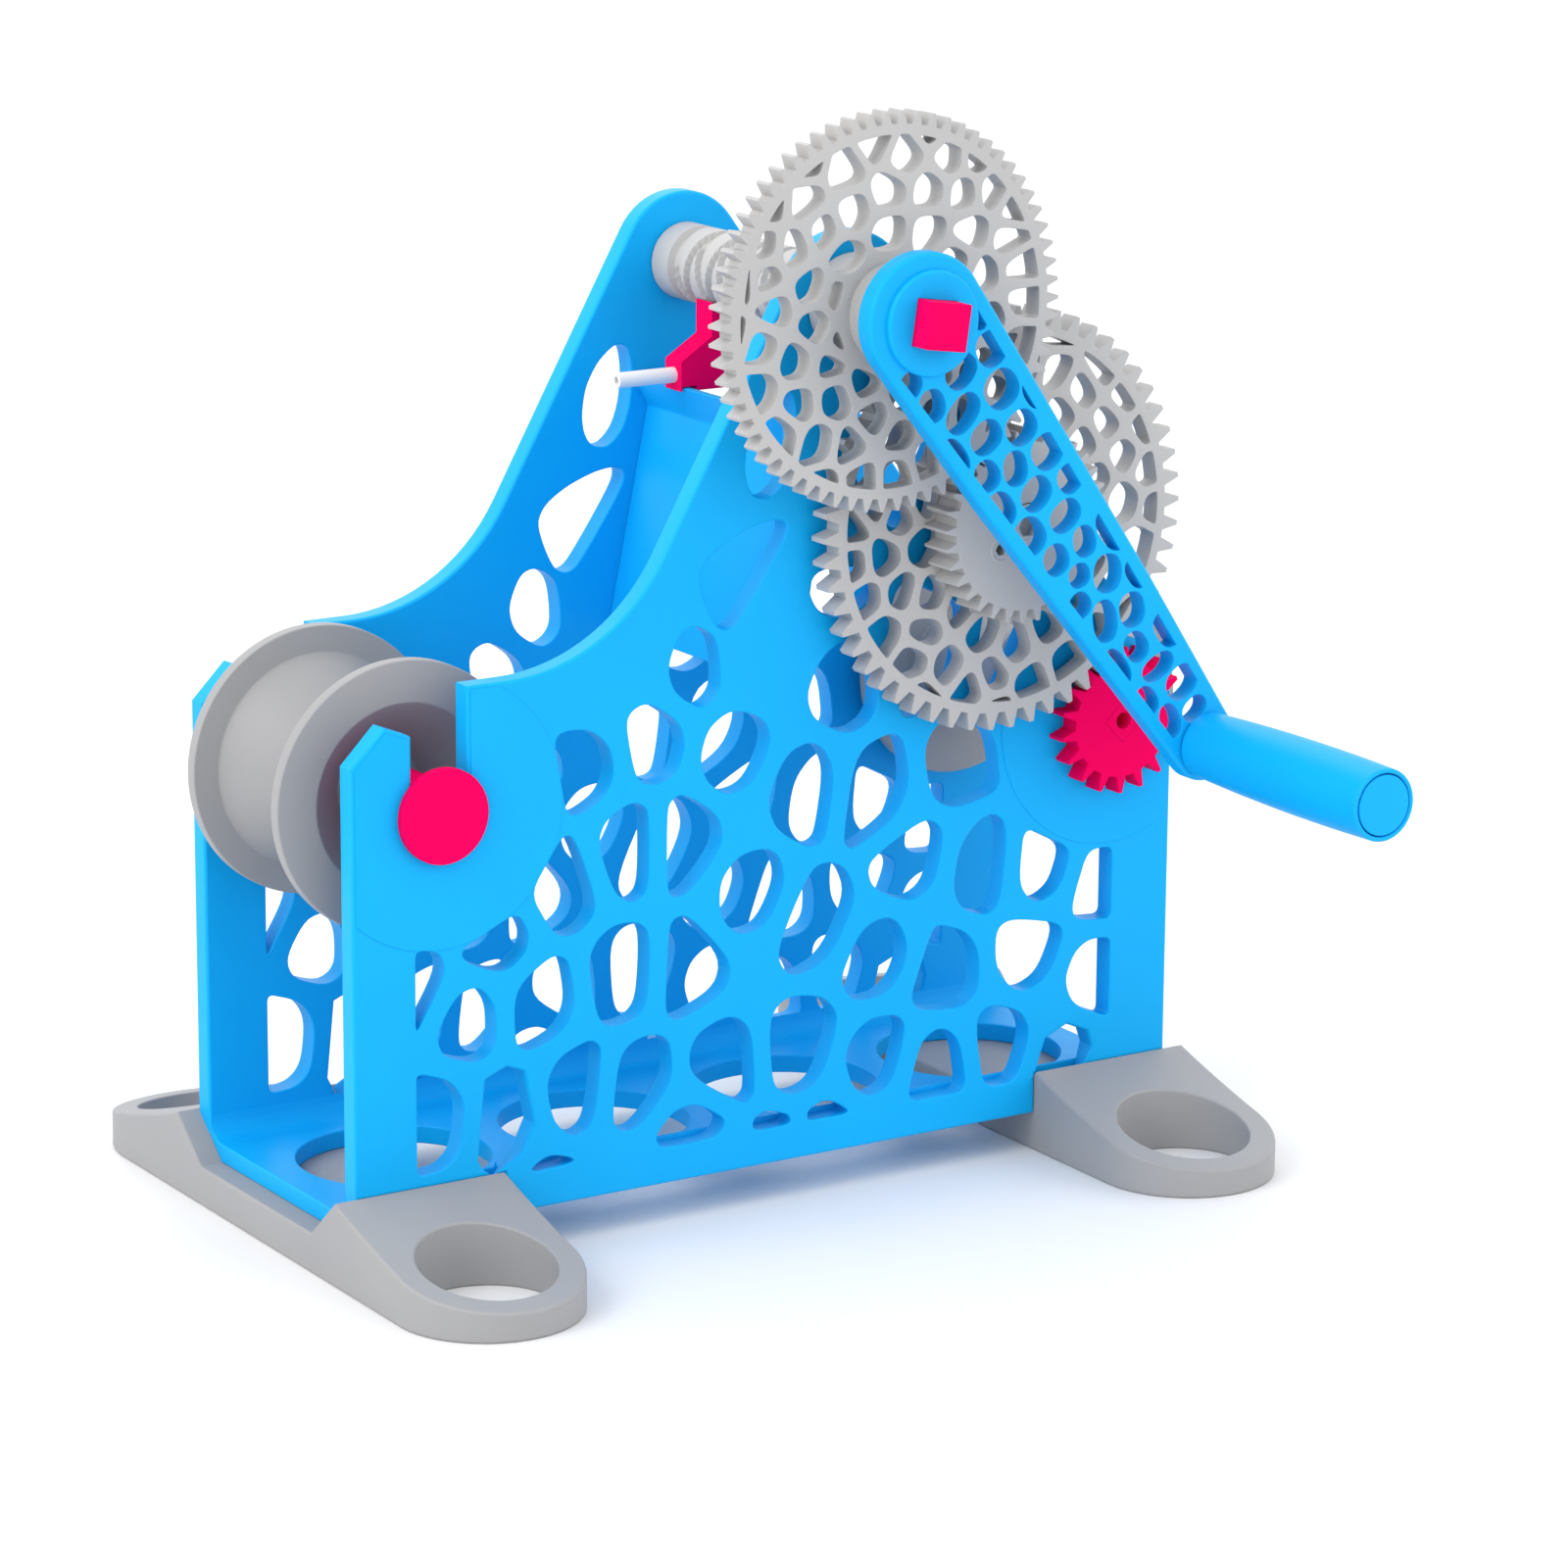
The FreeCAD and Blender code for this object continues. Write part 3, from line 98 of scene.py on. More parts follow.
@dataclass(frozen=True)
class PlasticFinish:
    """Satin printed plastic with a slow drift of tone and a faint grain.

    Attributes:
        name: Name of the material.
        slot: Slot of the record that the finish belongs to; not used.
        colour: Main colour, linear.
        tone: Colour that it drifts towards, linear.
        roughness: Middle roughness.
        grain: Strength of the fine bump.
        drift: Scale of the tone's noise per metre.
        shine: Level of the reflection at the surface.
        metallic: Share of bare metal.
        refraction: Index of refraction.
        tone_span: Values of the noise between which the tone drifts.
        spread: How far the roughness varies to each side.
        patch: Scale of the roughness's noise per metre.
        grit: Scale of the grain's noise per metre.
        grit_depth: Depth of the grain in metres.
    """

    name: str
    slot: str
    colour: Triple
    tone: Triple
    roughness: float
    grain: float = 0.06
    drift: float = 14.0
    shine: float = 0.3
    metallic: float = 0.0
    refraction: float = 1.47
    tone_span: Point = (0.38, 0.66)
    spread: float = 0.05
    patch: float = 90.0
    grit: float = 1600.0
    grit_depth: float = 0.0002

    def material(self) -> bpy.types.Material:
        """Make the material, or return it where it exists.

        Returns:
            The material.
        """
        found = bpy.data.materials.get(self.name)
        if found is not None:
            return found
        made = bpy.data.materials.new(self.name)
        made.use_nodes = True
        tree = made.node_tree
        shader = tree.nodes["Principled BSDF"]
        shader.inputs["Metallic"].default_value = self.metallic
        shader.inputs["IOR"].default_value = self.refraction
        shader.inputs["Specular IOR Level"].default_value = self.shine
        place = tree.nodes.new("ShaderNodeTexCoord").outputs["Object"]
        self._tint(tree, place, shader)
        self._surface(tree, place, shader)
        return made

    @staticmethod
    def _noise(
        tree: bpy.types.NodeTree, place: bpy.types.NodeSocket, scale: float, detail: float,
    ) -> bpy.types.NodeSocket:
        """Add a noise texture.

        Args:
            tree: Nodes of the material.
            place: Socket with the object's own coordinates.
            scale: Scale of the noise per metre.
            detail: Number of its finer layers.

        Returns:
            Socket with the noise.
        """
        noise = tree.nodes.new("ShaderNodeTexNoise")
        noise.inputs["Scale"].default_value = scale
        noise.inputs["Detail"].default_value = detail
        tree.links.new(place, noise.inputs["Vector"])
        return noise.outputs["Fac"]

    def _tint(
        self, tree: bpy.types.NodeTree, place: bpy.types.NodeSocket, shader: bpy.types.Node,
    ) -> None:
        """Drift the base colour slowly between the colour and its tone.

        Args:
            tree: Nodes of the material.
            place: Socket with the object's own coordinates.
            shader: The plastic's shader.
        """
        ramp = tree.nodes.new("ShaderNodeValToRGB")
        for i, colour in enumerate((self.colour, self.tone)):
            ramp.color_ramp.elements[i].position = self.tone_span[i]
            ramp.color_ramp.elements[i].color = (*colour, 1.0)
        tree.links.new(self._noise(tree, place, self.drift, 2.0), ramp.inputs["Fac"])
        tree.links.new(ramp.outputs["Color"], shader.inputs["Base Color"])

    def _surface(
        self, tree: bpy.types.NodeTree, place: bpy.types.NodeSocket, shader: bpy.types.Node,
    ) -> None:
        """Vary the roughness a little, and add the grain as a bump.

        Args:
            tree: Nodes of the material.
            place: Socket with the object's own coordinates.
            shader: The plastic's shader.
        """
        span = tree.nodes.new("ShaderNodeMapRange")
        span.inputs["To Min"].default_value = self.roughness - self.spread
        span.inputs["To Max"].default_value = self.roughness + self.spread
        tree.links.new(self._noise(tree, place, self.patch, 3.0), span.inputs["Value"])
        tree.links.new(span.outputs["Result"], shader.inputs["Roughness"])
        bump = tree.nodes.new("ShaderNodeBump")
        bump.inputs["Strength"].default_value = self.grain
        bump.inputs["Distance"].default_value = self.grit_depth
        tree.links.new(self._noise(tree, place, self.grit, 4.0), bump.inputs["Height"])
        tree.links.new(bump.outputs["Normal"], shader.inputs["Normal"])


BLUE = PlasticFinish(
    "blue_printed_plastic", "blue_plastic", (0.003, 0.385, 0.82), (0.003, 0.365, 0.785), 0.42,
    shine=0.13,
)
FOOT_GREY = PlasticFinish(
    "grey_printed_plastic", "grey_plastic", (0.32, 0.32, 0.325), (0.3, 0.3, 0.31), 0.5,
)
GEAR_GREY = PlasticFinish(
    "light_grey_printed_plastic", "light_grey_plastic", (0.44, 0.435, 0.43), (0.41, 0.405, 0.405),
    0.48,
)
RED = PlasticFinish(
    "red_printed_plastic", "red_plastic", (0.85, 0.0006, 0.1), (0.8, 0.0006, 0.092), 0.5,
    shine=0.02,
)
TUBE_WHITE = PlasticFinish(
    "white_slick_tube", "white_tube", (0.8, 0.8, 0.81), (0.74, 0.74, 0.76), 0.25, grain=0.02,
)
STEEL = PlasticFinish(
    "clip_steel", "clip_steel", (0.42, 0.41, 0.4), (0.36, 0.35, 0.34), 0.3,
    metallic=1.0, drift=60.0, shine=0.5,
)


class End(Enum):
    """End of the frame along X."""

    LEFT = -1
    RIGHT = 1


class Hand(Enum):
    """Hand of a helical groove."""

    RIGHT = 1
    LEFT = -1


class Way(Enum):
    """Way round a loop, with the material on its left."""

    RIM = 1
    HOLE = -1


# Plane geometry


def polar(radius: float, degrees: float, centre: Point = (0.0, 0.0)) -> Point:
    """Point at a radius and an angle about a centre."""
    angle = math.radians(degrees)
    return (centre[0] + radius * math.cos(angle), centre[1] + radius * math.sin(angle))


def circle(
    radius: float, centre: Point = (0.0, 0.0), way: Way = Way.HOLE, steps: int = 96,
    start: float = 0.0,
) -> Loop:
    """Even points on a circle.

    Args:
        radius: Its radius.
        centre: Its middle.
        way: Way round.
        steps: Number of points.
        start: Angle of the first point.

    Returns:
        The points.
    """
    return [polar(radius, start + way.value * 360 * k / steps, centre) for k in range(steps)]


def signed_area(loop: Loop) -> float:
    """Area of a loop, positive where it runs anticlockwise."""
    return sum(loop[i - 1][0] * p[1] - p[0] * loop[i - 1][1] for i, p in enumerate(loop)) / 2


def middle_of(loop: Sequence[Point]) -> Vector:
    """Middle of a loop, as the mean of its corners."""
    return sum((Vector(corner) for corner in loop), Vector((0.0, 0.0))) / len(loop)


def turn_at(loop: Loop, i: int) -> float:
    """Angle by which a loop turns at one of its corners.

    Args:
        loop: The loop.
        i: Number of the corner.

    Returns:
        The angle, from 0 to 180.
    """
    before, corner, after = loop[i - 1], loop[i], loop[(i + 1) % len(loop)]
    into = math.atan2(corner[1] - before[1], corner[0] - before[0])
    out = math.atan2(after[1] - corner[1], after[0] - corner[0])
    return abs((math.degrees(out - into) + 180) % 360 - 180)


def rounded(loop: Loop, reach: Callable[[int], float], steps: int) -> Loop:
    """Round a loop's corners.

    Args:
        loop: Corners of the loop.
        reach: Distance from corner i where its rounding starts, at most half of each edge; 0 keeps
            the corner sharp.
        steps: Points on each rounding.

    Returns:
        The rounded loop.
    """
    made: Loop = []
    for i, corner in enumerate(loop):
        if reach(i) <= 0:
            made.append(corner)
            continue
        start, end = (
            Vector(corner).lerp(other, min(0.5, reach(i) / math.dist(corner, other)))
            for other in (Vector(loop[i - 1]), Vector(loop[(i + 1) % len(loop)]))
        )
        for k in range(steps):
            t = (k + 0.5) / steps
            pull = FULLNESS * 3 * t * (1 - t)
            from_start = (1 - t) ** 3 + (1 - FULLNESS) * 3 * t * (1 - t) ** 2
            spot = start * from_start + Vector(corner) * pull + end * (1 - pull - from_start)
            made.append((spot.x, spot.y))
    return made


def inset(loop: Loop, distance: float) -> Loop:
    """Move a loop to the left of its direction, with its corners mitred.

    Args:
        loop: The loop.
        distance: How far it moves.

    Returns:
        The moved loop.
    """
    made: Loop = []
    for i, corner in enumerate(loop):
        before, after = Vector(loop[i - 1]), Vector(loop[(i + 1) % len(loop)])
        into, out = (Vector(corner) - before).normalized(), (after - Vector(corner)).normalized()
        first, second = Vector((-into.y, into.x)), Vector((-out.y, out.x))
        mitre = (first + second).normalized()
        reach = distance / max(LEAST_MITRE, mitre.dot(first))
        made.append((corner[0] + mitre.x * reach, corner[1] + mitre.y * reach))
    return made


def oval(middle: Point, half: Point, tilt: float, steps: int = 32) -> Loop:
    """Clockwise oval, a little fuller than an ellipse.

    Args:
        middle: Its middle.
        half: Half of its length and of its width.
        tilt: Turn of its length.
        steps: Number of points.

    Returns:
        The oval.
    """
    made: Loop = []
    turn = math.radians(tilt)
    for k in range(steps):
        c, s = math.cos(-math.tau * k / steps), math.sin(-math.tau * k / steps)
        u, v = (h * math.copysign(abs(w) ** OVAL_POWER, w) for h, w in zip(half, (c, s)))
        along = u * math.cos(turn) - v * math.sin(turn)
        across = u * math.sin(turn) + v * math.cos(turn)
        made.append((middle[0] + along, middle[1] + across))
    return made


def kept_left(loop: Loop, start: Point, end: Point) -> Loop:
    """Cut a convex loop along a line.

    Args:
        loop: The loop.
        start: First point of the line.
        end: Second point of the line.

    Returns:
        The part on the left of the line.
    """
    sides = [signed_area([start, end, corner]) for corner in loop]
    made: Loop = []
    for i, corner in enumerate(loop):
        before, here = sides[i - 1], sides[i]
        if (before > 0) != (here > 0):
            spot = Vector(loop[i - 1]).lerp(Vector(corner), before / (before - here))
            made.append((spot.x, spot.y))
        if here > 0 and (not made or math.dist(made[-1], corner) > TOUCH):
            made.append(corner)
    return made


def hull(circles: Sequence[Triple], steps: int = 240) -> Loop:
    """Outline of a belt round circles.

    Args:
        circles: Each circle's middle and radius (x, y, radius).
        steps: Number of points.

    Returns:
        The outline, anticlockwise.
    """
    made: Loop = []
    for k in range(steps):
        angle = math.tau * k / steps
        c, s = math.cos(angle), math.sin(angle)
        x, y, radius = max(circles, key=lambda disc: disc[0] * c + disc[1] * s + disc[2])
        made.append((x + radius * c, y + radius * s))
    return made


def arc_through(first: Point, second: Point, third: Point, steps: int) -> Loop:
    """Arc through three points.

    Args:
        first: Where it starts.
        second: A point between.
        third: Where it ends.
        steps: Number of its parts.

    Returns:
        Points along the arc, both ends among them.
    """
    (ax, ay), (bx, by), (cx, cy) = first, second, third
    a, b, c = ax**2 + ay**2, bx**2 + by**2, cx**2 + cy**2
    d = 2 * (ax * (by - cy) + bx * (cy - ay) + cx * (ay - by))
    ux = (a * (by - cy) + b * (cy - ay) + c * (ay - by)) / d
    uy = (a * (cx - bx) + b * (ax - cx) + c * (bx - ax)) / d
    radius = math.dist((ux, uy), first)
    start = math.degrees(math.atan2(ay - uy, ax - ux))
    end = math.degrees(math.atan2(cy - uy, cx - ux))
    side = signed_area([first, second, third])
    sweep = (end - start) % 360 if side > 0 else -((start - end) % 360)
    return [polar(radius, start + sweep * k / steps, (ux, uy)) for k in range(steps + 1)]


# Work on meshes


class Bench:
    """Edit-mode and modifier work that every piece shares."""

    @staticmethod
    def take(piece: bpy.types.Object) -> None:
        """Select one object alone and make it active."""
        bpy.ops.object.select_all(action="DESELECT")
        piece.select_set(True)
        bpy.context.view_layer.objects.active = piece

    @staticmethod
    def place(name: str, data: bpy.types.ID) -> bpy.types.Object:
        """Put a new object with this data in the scene."""
        made = bpy.data.objects.new(name, data)
        bpy.context.scene.collection.objects.link(made)
        return made

    @classmethod
    def new_piece(
        cls, name: str, verts: Sequence[Triple], edges: Sequence[Sequence[int]] = (),
        faces: Sequence[Sequence[int]] = (),
    ) -> bpy.types.Object:
        """Make an object from points.

        Args:
            name: Its name.
            verts: Its points.
            edges: Its edges, where it has no faces yet.
            faces: Its faces.

        Returns:
            The object.
        """
        mesh = bpy.data.meshes.new(name)
        mesh.from_pydata([tuple(c * MM for c in v) for v in verts], list(edges), list(faces))
        return cls.place(name, mesh)

    @classmethod
    def clean(cls, piece: bpy.types.Object) -> None:
        """Merge doubled points and turn all faces outwards."""
        cls.take(piece)
        bpy.ops.object.mode_set(mode="EDIT")
        bpy.ops.mesh.select_all(action="SELECT")
        bpy.ops.mesh.remove_doubles(threshold=WELD)
        bpy.ops.mesh.normals_make_consistent(inside=False)
        bpy.ops.object.mode_set(mode="OBJECT")

    @classmethod
    def apply(cls, piece: bpy.types.Object, kind: str, **settings: object) -> None:
        """Add a modifier and apply it.

        Args:
            piece: The object.
            kind: The modifier's type.
            **settings: Its settings.
        """
        cls.take(piece)
        modifier = piece.modifiers.new(kind.lower(), kind)
        for key, value in settings.items():
            setattr(modifier, key, value)
        bpy.ops.object.modifier_apply(modifier=modifier.name)

    @classmethod
    def round_edges(cls, piece: bpy.types.Object, width: float, degrees: float = 30.0) -> None:
        """Round the sharp edges.

        Args:
            piece: The object.
            width: Width of the rounding.
            degrees: Angle from which an edge is sharp.
        """
        cls.apply(
            piece, "BEVEL", width=width * MM, segments=3, limit_method="ANGLE",
            angle_limit=math.radians(degrees), miter_outer="MITER_ARC", use_clamp_overlap=True,
        )

    @classmethod
    def smooth(cls, piece: bpy.types.Object, degrees: float = 32.0) -> bpy.types.Object:
        """Shade smoothly, with flat faces kept flat.

        Args:
            piece: The object.
            degrees: Angle up to which an edge is smooth.

        Returns:
            The same object.
        """
        cls.take(piece)
        bpy.ops.object.shade_smooth_by_angle(angle=math.radians(degrees))
        cls.apply(piece, "WEIGHTED_NORMAL", weight=80, keep_sharp=True)
        return piece


# Readers of the frame


class Frame:
    """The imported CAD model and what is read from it."""

    def __init__(self) -> None:
        """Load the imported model."""
        self.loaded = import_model()
        bpy.ops.object.select_all(action="DESELECT")

    def node(self, name: str) -> bpy.types.Object:
        """One CAD node's object."""
        return self.loaded["nodes"][name]

    def axle(self, joint: str) -> Point:
        """Place (x, z) of a hinge."""
        hinges = {j["name"]: j for j in self.loaded["record"]["behaviour"]["joints"]}
        x, _, z = hinges[joint]["pos_m"]
        return (x / MM, z / MM)

    def loops(self, name: str, y: float) -> list[Loop]:
        """Closed outlines of a node's flat faces in a plane across Y.

        Args:
            name: CAD node.
            y: Place of the plane.

        Returns:
            Loops of (x, z), the outermost first; it runs anticlockwise and the rest clockwise.
        """
        work = bmesh.new()
        work.from_mesh(self.node(name).data)
        bmesh.ops.remove_doubles(work, verts=work.verts, dist=READ_WELD)
        flat = {f.index for f in work.faces if all(abs(v.co.y / MM - y) < TOUCH for v in f.verts)}
        links: dict[int, list[int]] = {}
        for edge in work.edges:
            if sum(f.index in flat for f in edge.link_faces) == 1:
                first, second = (v.index for v in edge.verts)
                links.setdefault(first, []).append(second)
                links.setdefault(second, []).append(first)
        work.verts.ensure_lookup_table()
        found: list[Loop] = []
        while links:
            start = next(iter(links))
            walk, here = [start], links.pop(start)[0]
            while here != start:
                walk.append(here)
                here = next(n for n in links.pop(here) if n != walk[-2])
            found.append([(work.verts[i].co.x / MM, work.verts[i].co.z / MM) for i in walk])
        work.free()
        found.sort(key=lambda loop: -abs(signed_area(loop)))
        return [
            loop if (signed_area(loop) > 0) == (i == 0) else loop[::-1]
            for i, loop in enumerate(found)
        ]

    def rounded_copy(self, node: str, name: str, width: float) -> bpy.types.Object:
        """Copy a CAD node, merge its triangles and round its edges.

        Args:
            node: CAD node.
            name: Name of the copy.
            width: Width of the rounding.

        Returns:
            The copy.
        """
        mesh = self.node(node).data.copy()
        mesh.materials.clear()
        piece = Bench.place(name, mesh)
        Bench.clean(piece)
        Bench.apply(piece, "DECIMATE", decimate_type="DISSOLVE", angle_limit=math.radians(FLAT))
        Bench.round_edges(piece, width)
        return Bench.smooth(piece)


# Ways to make a form


@dataclass
class Contour:
    """One closed edge line of a plate.

    Attributes:
        loop: Its points, with the material on the left.
        edge: Rounding radius of its rims.
    """

    loop: Loop
    edge: float


@dataclass
class Plate:
    """Flat plate between two levels, bounded by contours whose rims are rounded.

    Attributes:
        name: Name of the finished piece.
        contours: Outer contour first, then the holes.
        low: Lower level along the plate's own normal.
        high: Upper level.
        steps: Facets on each rounded rim.
        lean: How far a point (x, y, level) of the outer contour moves along the plate's Y.
    """

    name: str
    contours: list[Contour]
    low: float
    high: float
    steps: int = 3
    lean: Callable[[float, float, float], float] | None = None

    def build(self) -> bpy.types.Object:
        """Make the shell in the XY plane, its normal along +Z.

        Returns:
            The shell.
        """
        verts: list[Triple] = []
        faces: list[tuple[int, ...]] = []
        tops: list[list[int]] = []
        bottoms: list[list[int]] = []
        for contour in self.contours:
            rings = self._rings(contour, verts)
            for lower, upper in zip(rings, rings[1:]):
                for i in range(len(lower)):
                    j = (i + 1) % len(lower)
                    faces.append((lower[i], lower[j], upper[j], upper[i]))
            bottoms.append(rings[0])
            tops.append(rings[-1])
        for cap in (tops, bottoms):
            flat = [i for ring in cap for i in ring]
            fills = tessellate_polygon([[Vector(verts[i]) for i in ring] for ring in cap])
            faces += [tuple(flat[i] for i in fill) for fill in fills]
        piece = Bench.new_piece(self.name, verts, faces=faces)
        Bench.clean(piece)
        return piece

    def _rings(self, contour: Contour, verts: list[Triple]) -> list[list[int]]:
        """Add a contour's rings from the bottom cap to the top cap.

        Args:
            contour: The contour.
            verts: Points of the shell so far, which the rings are added to.

        Returns:
            Numbers of each ring's points.
        """
        levels = []
        for k in range(self.steps + 1):
            angle = math.pi / 2 * k / self.steps
            levels.append((
                contour.edge * (1 - math.sin(angle)), contour.edge * (1 - math.cos(angle)),
            ))
        profile = [(shift, self.low + depth) for shift, depth in levels]
        profile += [(shift, self.high - depth) for shift, depth in reversed(levels)]
        rings = []
        for shift, level in profile:
            ring = inset(contour.loop, shift)
            rings.append(list(range(len(verts), len(verts) + len(ring))))
            if self.lean is not None and contour is self.contours[0]:
                ring = [(x, y + self.lean(x, y, level)) for x, y in ring]
            verts.extend((x, y, level) for x, y in ring)
        return rings

    def upright(self) -> bpy.types.Object:
        """Make the shell with its plane at right angles to Y: levels run along -Y."""
        piece = self.build()
        piece.data.transform(UPRIGHT)
        return piece


@dataclass
class Turning:
    """Solid turned about an axle along Y.

    Attributes:
        name: Name of the finished piece.
        profile: Closed line of (y, radius).
        axle: Place of the axle (x, z).
        edge: Rounding radius of its edges.
        steps: Facets round the axle.
    """

    name: str
    profile: Loop
    axle: Point
    edge: float
    steps: int = 96

    def build(self) -> bpy.types.Object:
        """Spin the profile, close it and round its edges.

        Returns:
            The solid.
        """
        x, z = self.axle
        count = len(self.profile)
        on_axle = [radius == 0 for _, radius in self.profile]
        line = [(i, (i + 1) % count) for i in range(count)]
        line = [(i, j) for i, j in line if not (on_axle[i] and on_axle[j])]
        piece = Bench.new_piece(self.name, [(x, y, z + radius) for y, radius in self.profile], line)
        Bench.take(piece)
        bpy.ops.object.mode_set(mode="EDIT")
        bpy.ops.mesh.select_all(action="SELECT")
        bpy.ops.mesh.spin(
            steps=self.steps, angle=math.tau, center=(x * MM, 0, z * MM), axis=(0, 1, 0),
        )
        bpy.ops.object.mode_set(mode="OBJECT")
        Bench.clean(piece)
        Bench.round_edges(piece, self.edge)
        return Bench.smooth(piece)


@dataclass
class Relief:
    """Plate in plan whose top follows a height along Y, and whose underside may rise.

    Attributes:
        plate: The flat plate that it starts from.
        height: Height of the top at a Y.
        cuts: Places along Y where the top or the underside bends.
        rise: How far the underside rises at an (x, y).
        across: Places along X where the underside steps.
    """

    plate: Plate
    height: Callable[[float], float]
    cuts: Sequence[float]
    rise: Callable[[float, float], float] = lambda x, y: 0.0
    across: Sequence[float] = ()

    def build(self) -> bpy.types.Object:
        """Cut the plate where it bends, lift its top to the height and raise its underside.

        Returns:
            The finished piece.
        """
        piece = self.plate.build()
        Bench.take(piece)
        bpy.ops.object.mode_set(mode="EDIT")
        planes = [((0, cut * MM, 0), (0, 1, 0)) for cut in self.cuts]
        planes += [((cut * MM, 0, 0), (1, 0, 0)) for cut in self.across]
        for spot, normal in planes:
            bpy.ops.mesh.select_all(action="SELECT")
            bpy.ops.mesh.bisect(plane_co=spot, plane_no=normal)
        bpy.ops.object.mode_set(mode="OBJECT")
        middle_level = (self.plate.low + self.plate.high) / 2
        for vert in piece.data.vertices:
            x, y, z = (c / MM for c in vert.co)
            if z > middle_level:
                vert.co.z += (self.height(y) - self.plate.high) * MM
            else:
                vert.co.z += self.rise(x, y) * MM
        Bench.clean(piece)
        return Bench.smooth(piece)


def dress(piece: bpy.types.Object, finish: PlasticFinish, body: str, *nodes: str) -> None:
    """Give a finished piece its material and say what it belongs to.

    Args:
        piece: The piece.
        finish: Its finish.
        body: The body that it rides on.
        *nodes: CAD nodes that it stands for.
    """
    piece.data.materials.clear()
    piece.data.materials.append(finish.material())
    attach(piece, body)
    if nodes:
        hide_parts(*nodes)
    LOG.info("%s rides on %s, %d faces", piece.name, body, len(piece.data.polygons))


# Sub-assemblies


@dataclass
class PrintedFrame:
    """Two lattice walls, the tray between them, the slanted web and two feet.

    `high_holes` are the outlines of the two large holes high in the walls. Each takes the place of
    the frame's own hole whose middle lies within `high_match` of its middle. The feet grip the
    tray and the walls along slants of `grip_height` over `grip_depth`.
    """

    frame: Frame
    middle: float = 106.7
    base: float = 10.6
    half_length: float = 125.0
    half_width: float = 44.0
    wall: float = 6.5
    wall_edge: float = 0.9
    hole_edge: float = 0.45
    hole_steps: int = 5
    bore_points: int = 20
    sharp_turn: float = 62.0
    side_slope: float = 0.05
    side_reach: float = 2.6
    other_reach: float = 5.0
    floor: float = 5.0
    floor_edge: float = 0.5
    fillet: float = 6.0
    fillet_step: int = 9
    web_edge: float = 0.5
    hole_count: int = 4
    hole_radius: float = 25.5
    hole_pitch: float = 60.3
    grip_depth: float = 13.0
    grip_height: float = 11.4
    slack: float = 0.1
    foot_length: float = 49.4
    foot_overhang: float = 6.4
    foot_edge: float = 0.8
    foot_step: int = 3
    foot_hole: float = 17.8
    foot_hole_edge: float = 0.6
    foot_hole_offset: float = 34.0
    tip_height: float = 7.3
    ramp: Point = (22.0, 15.5)
    ramp_over: float = 1.0
    ramp_steps: int = 16
    high_steps: int = 4
    high_match: float = 9.0
    high_holes: tuple[tuple[Point, ...], ...] = (
        ((95.4, 198.1), (96.5, 205.1), (100.2, 211.6), (105.7, 216.1), (109.5, 215.1),
         (110.7, 208.6), (110.1, 199.6), (107.7, 192.6), (103.2, 188.3), (98.2, 189.1),
         (95.9, 193.1)),
        ((81.5, 170.1), (84.2, 174.8), (90.7, 178.9), (98.7, 181.9), (105.2, 182.9),
         (108.3, 181.6), (107.9, 178.1), (103.2, 170.6), (97.7, 162.6), (93.2, 156.6),
         (90.2, 155.4), (86.9, 156.8), (83.9, 162.6)),
    )
    pad: float = 0.25
    pad_radius: float = 35.0
    pad_edge: float = 0.15
    pad_steps: int = 144
    pad_root: float = 0.5
    cutter_over: float = 0.01

    def build(self) -> None:
        """Make and dress every piece of the printed frame."""
        for joint in ("source_spool_turn", "take_up_turn"):
            dress(self._pad(joint), BLUE, "frame")
        for node, side in (("near_side_wall", -1), ("far_side_wall", 1)):
            dress(self._wall(node, side * self.half_width), BLUE, "frame", node)
        dress(self._tray(), BLUE, "frame", "floor_tray")
        web = self.frame.rounded_copy("cross_web", "web", self.web_edge)
        dress(web, BLUE, "frame", "cross_web")
        for end, node in ((End.LEFT, "left_foot"), (End.RIGHT, "right_foot")):
            dress(self._foot(end), FOOT_GREY, "frame", node)

    @property
    def grip_start(self) -> float:
        """Distance along X from the middle at which the feet's grip starts."""
        return self.half_length + self.foot_overhang - self.foot_length

    def _gripped(self, x: float) -> bool:
        """Whether a place along X lies in a foot."""
        return abs(x - self.middle) > self.grip_start - self.slack

    def _hole(self, loop: Loop) -> Contour:
        """Round the corners of a lattice hole, least at an upright side; a round bore stays.

        Args:
            loop: Corners of the hole.

        Returns:
            The hole's contour.
        """
        if len(loop) > self.bore_points:
            return Contour(loop, self.hole_edge)
        for high in self.high_holes:
            if (middle_of(high) - middle_of(loop)).length < self.high_match:
                high_loop = rounded(list(high), lambda i: math.inf, self.high_steps)
                return Contour(high_loop, self.hole_edge)

        def reach(i: int) -> float:
            """Reach of the rounding at corner i."""
            if turn_at(loop, i) < self.sharp_turn:
                return math.inf
            x, z = loop[i]
            ends = (loop[i - 1], loop[(i + 1) % len(loop)])
            upright = any(abs(u - x) < self.side_slope * abs(w - z) for u, w in ends)
            return self.side_reach if upright else self.other_reach

        return Contour(rounded(loop, reach, self.hole_steps), self.hole_edge)

    def _outlines(self, node: str, face: float) -> list[Contour]:
        """Contours of a wall, from its outer face at this Y."""
        outer, *holes = self.frame.loops(node, face)
        return [Contour(outer, self.wall_edge), *(self._hole(hole) for hole in holes)]

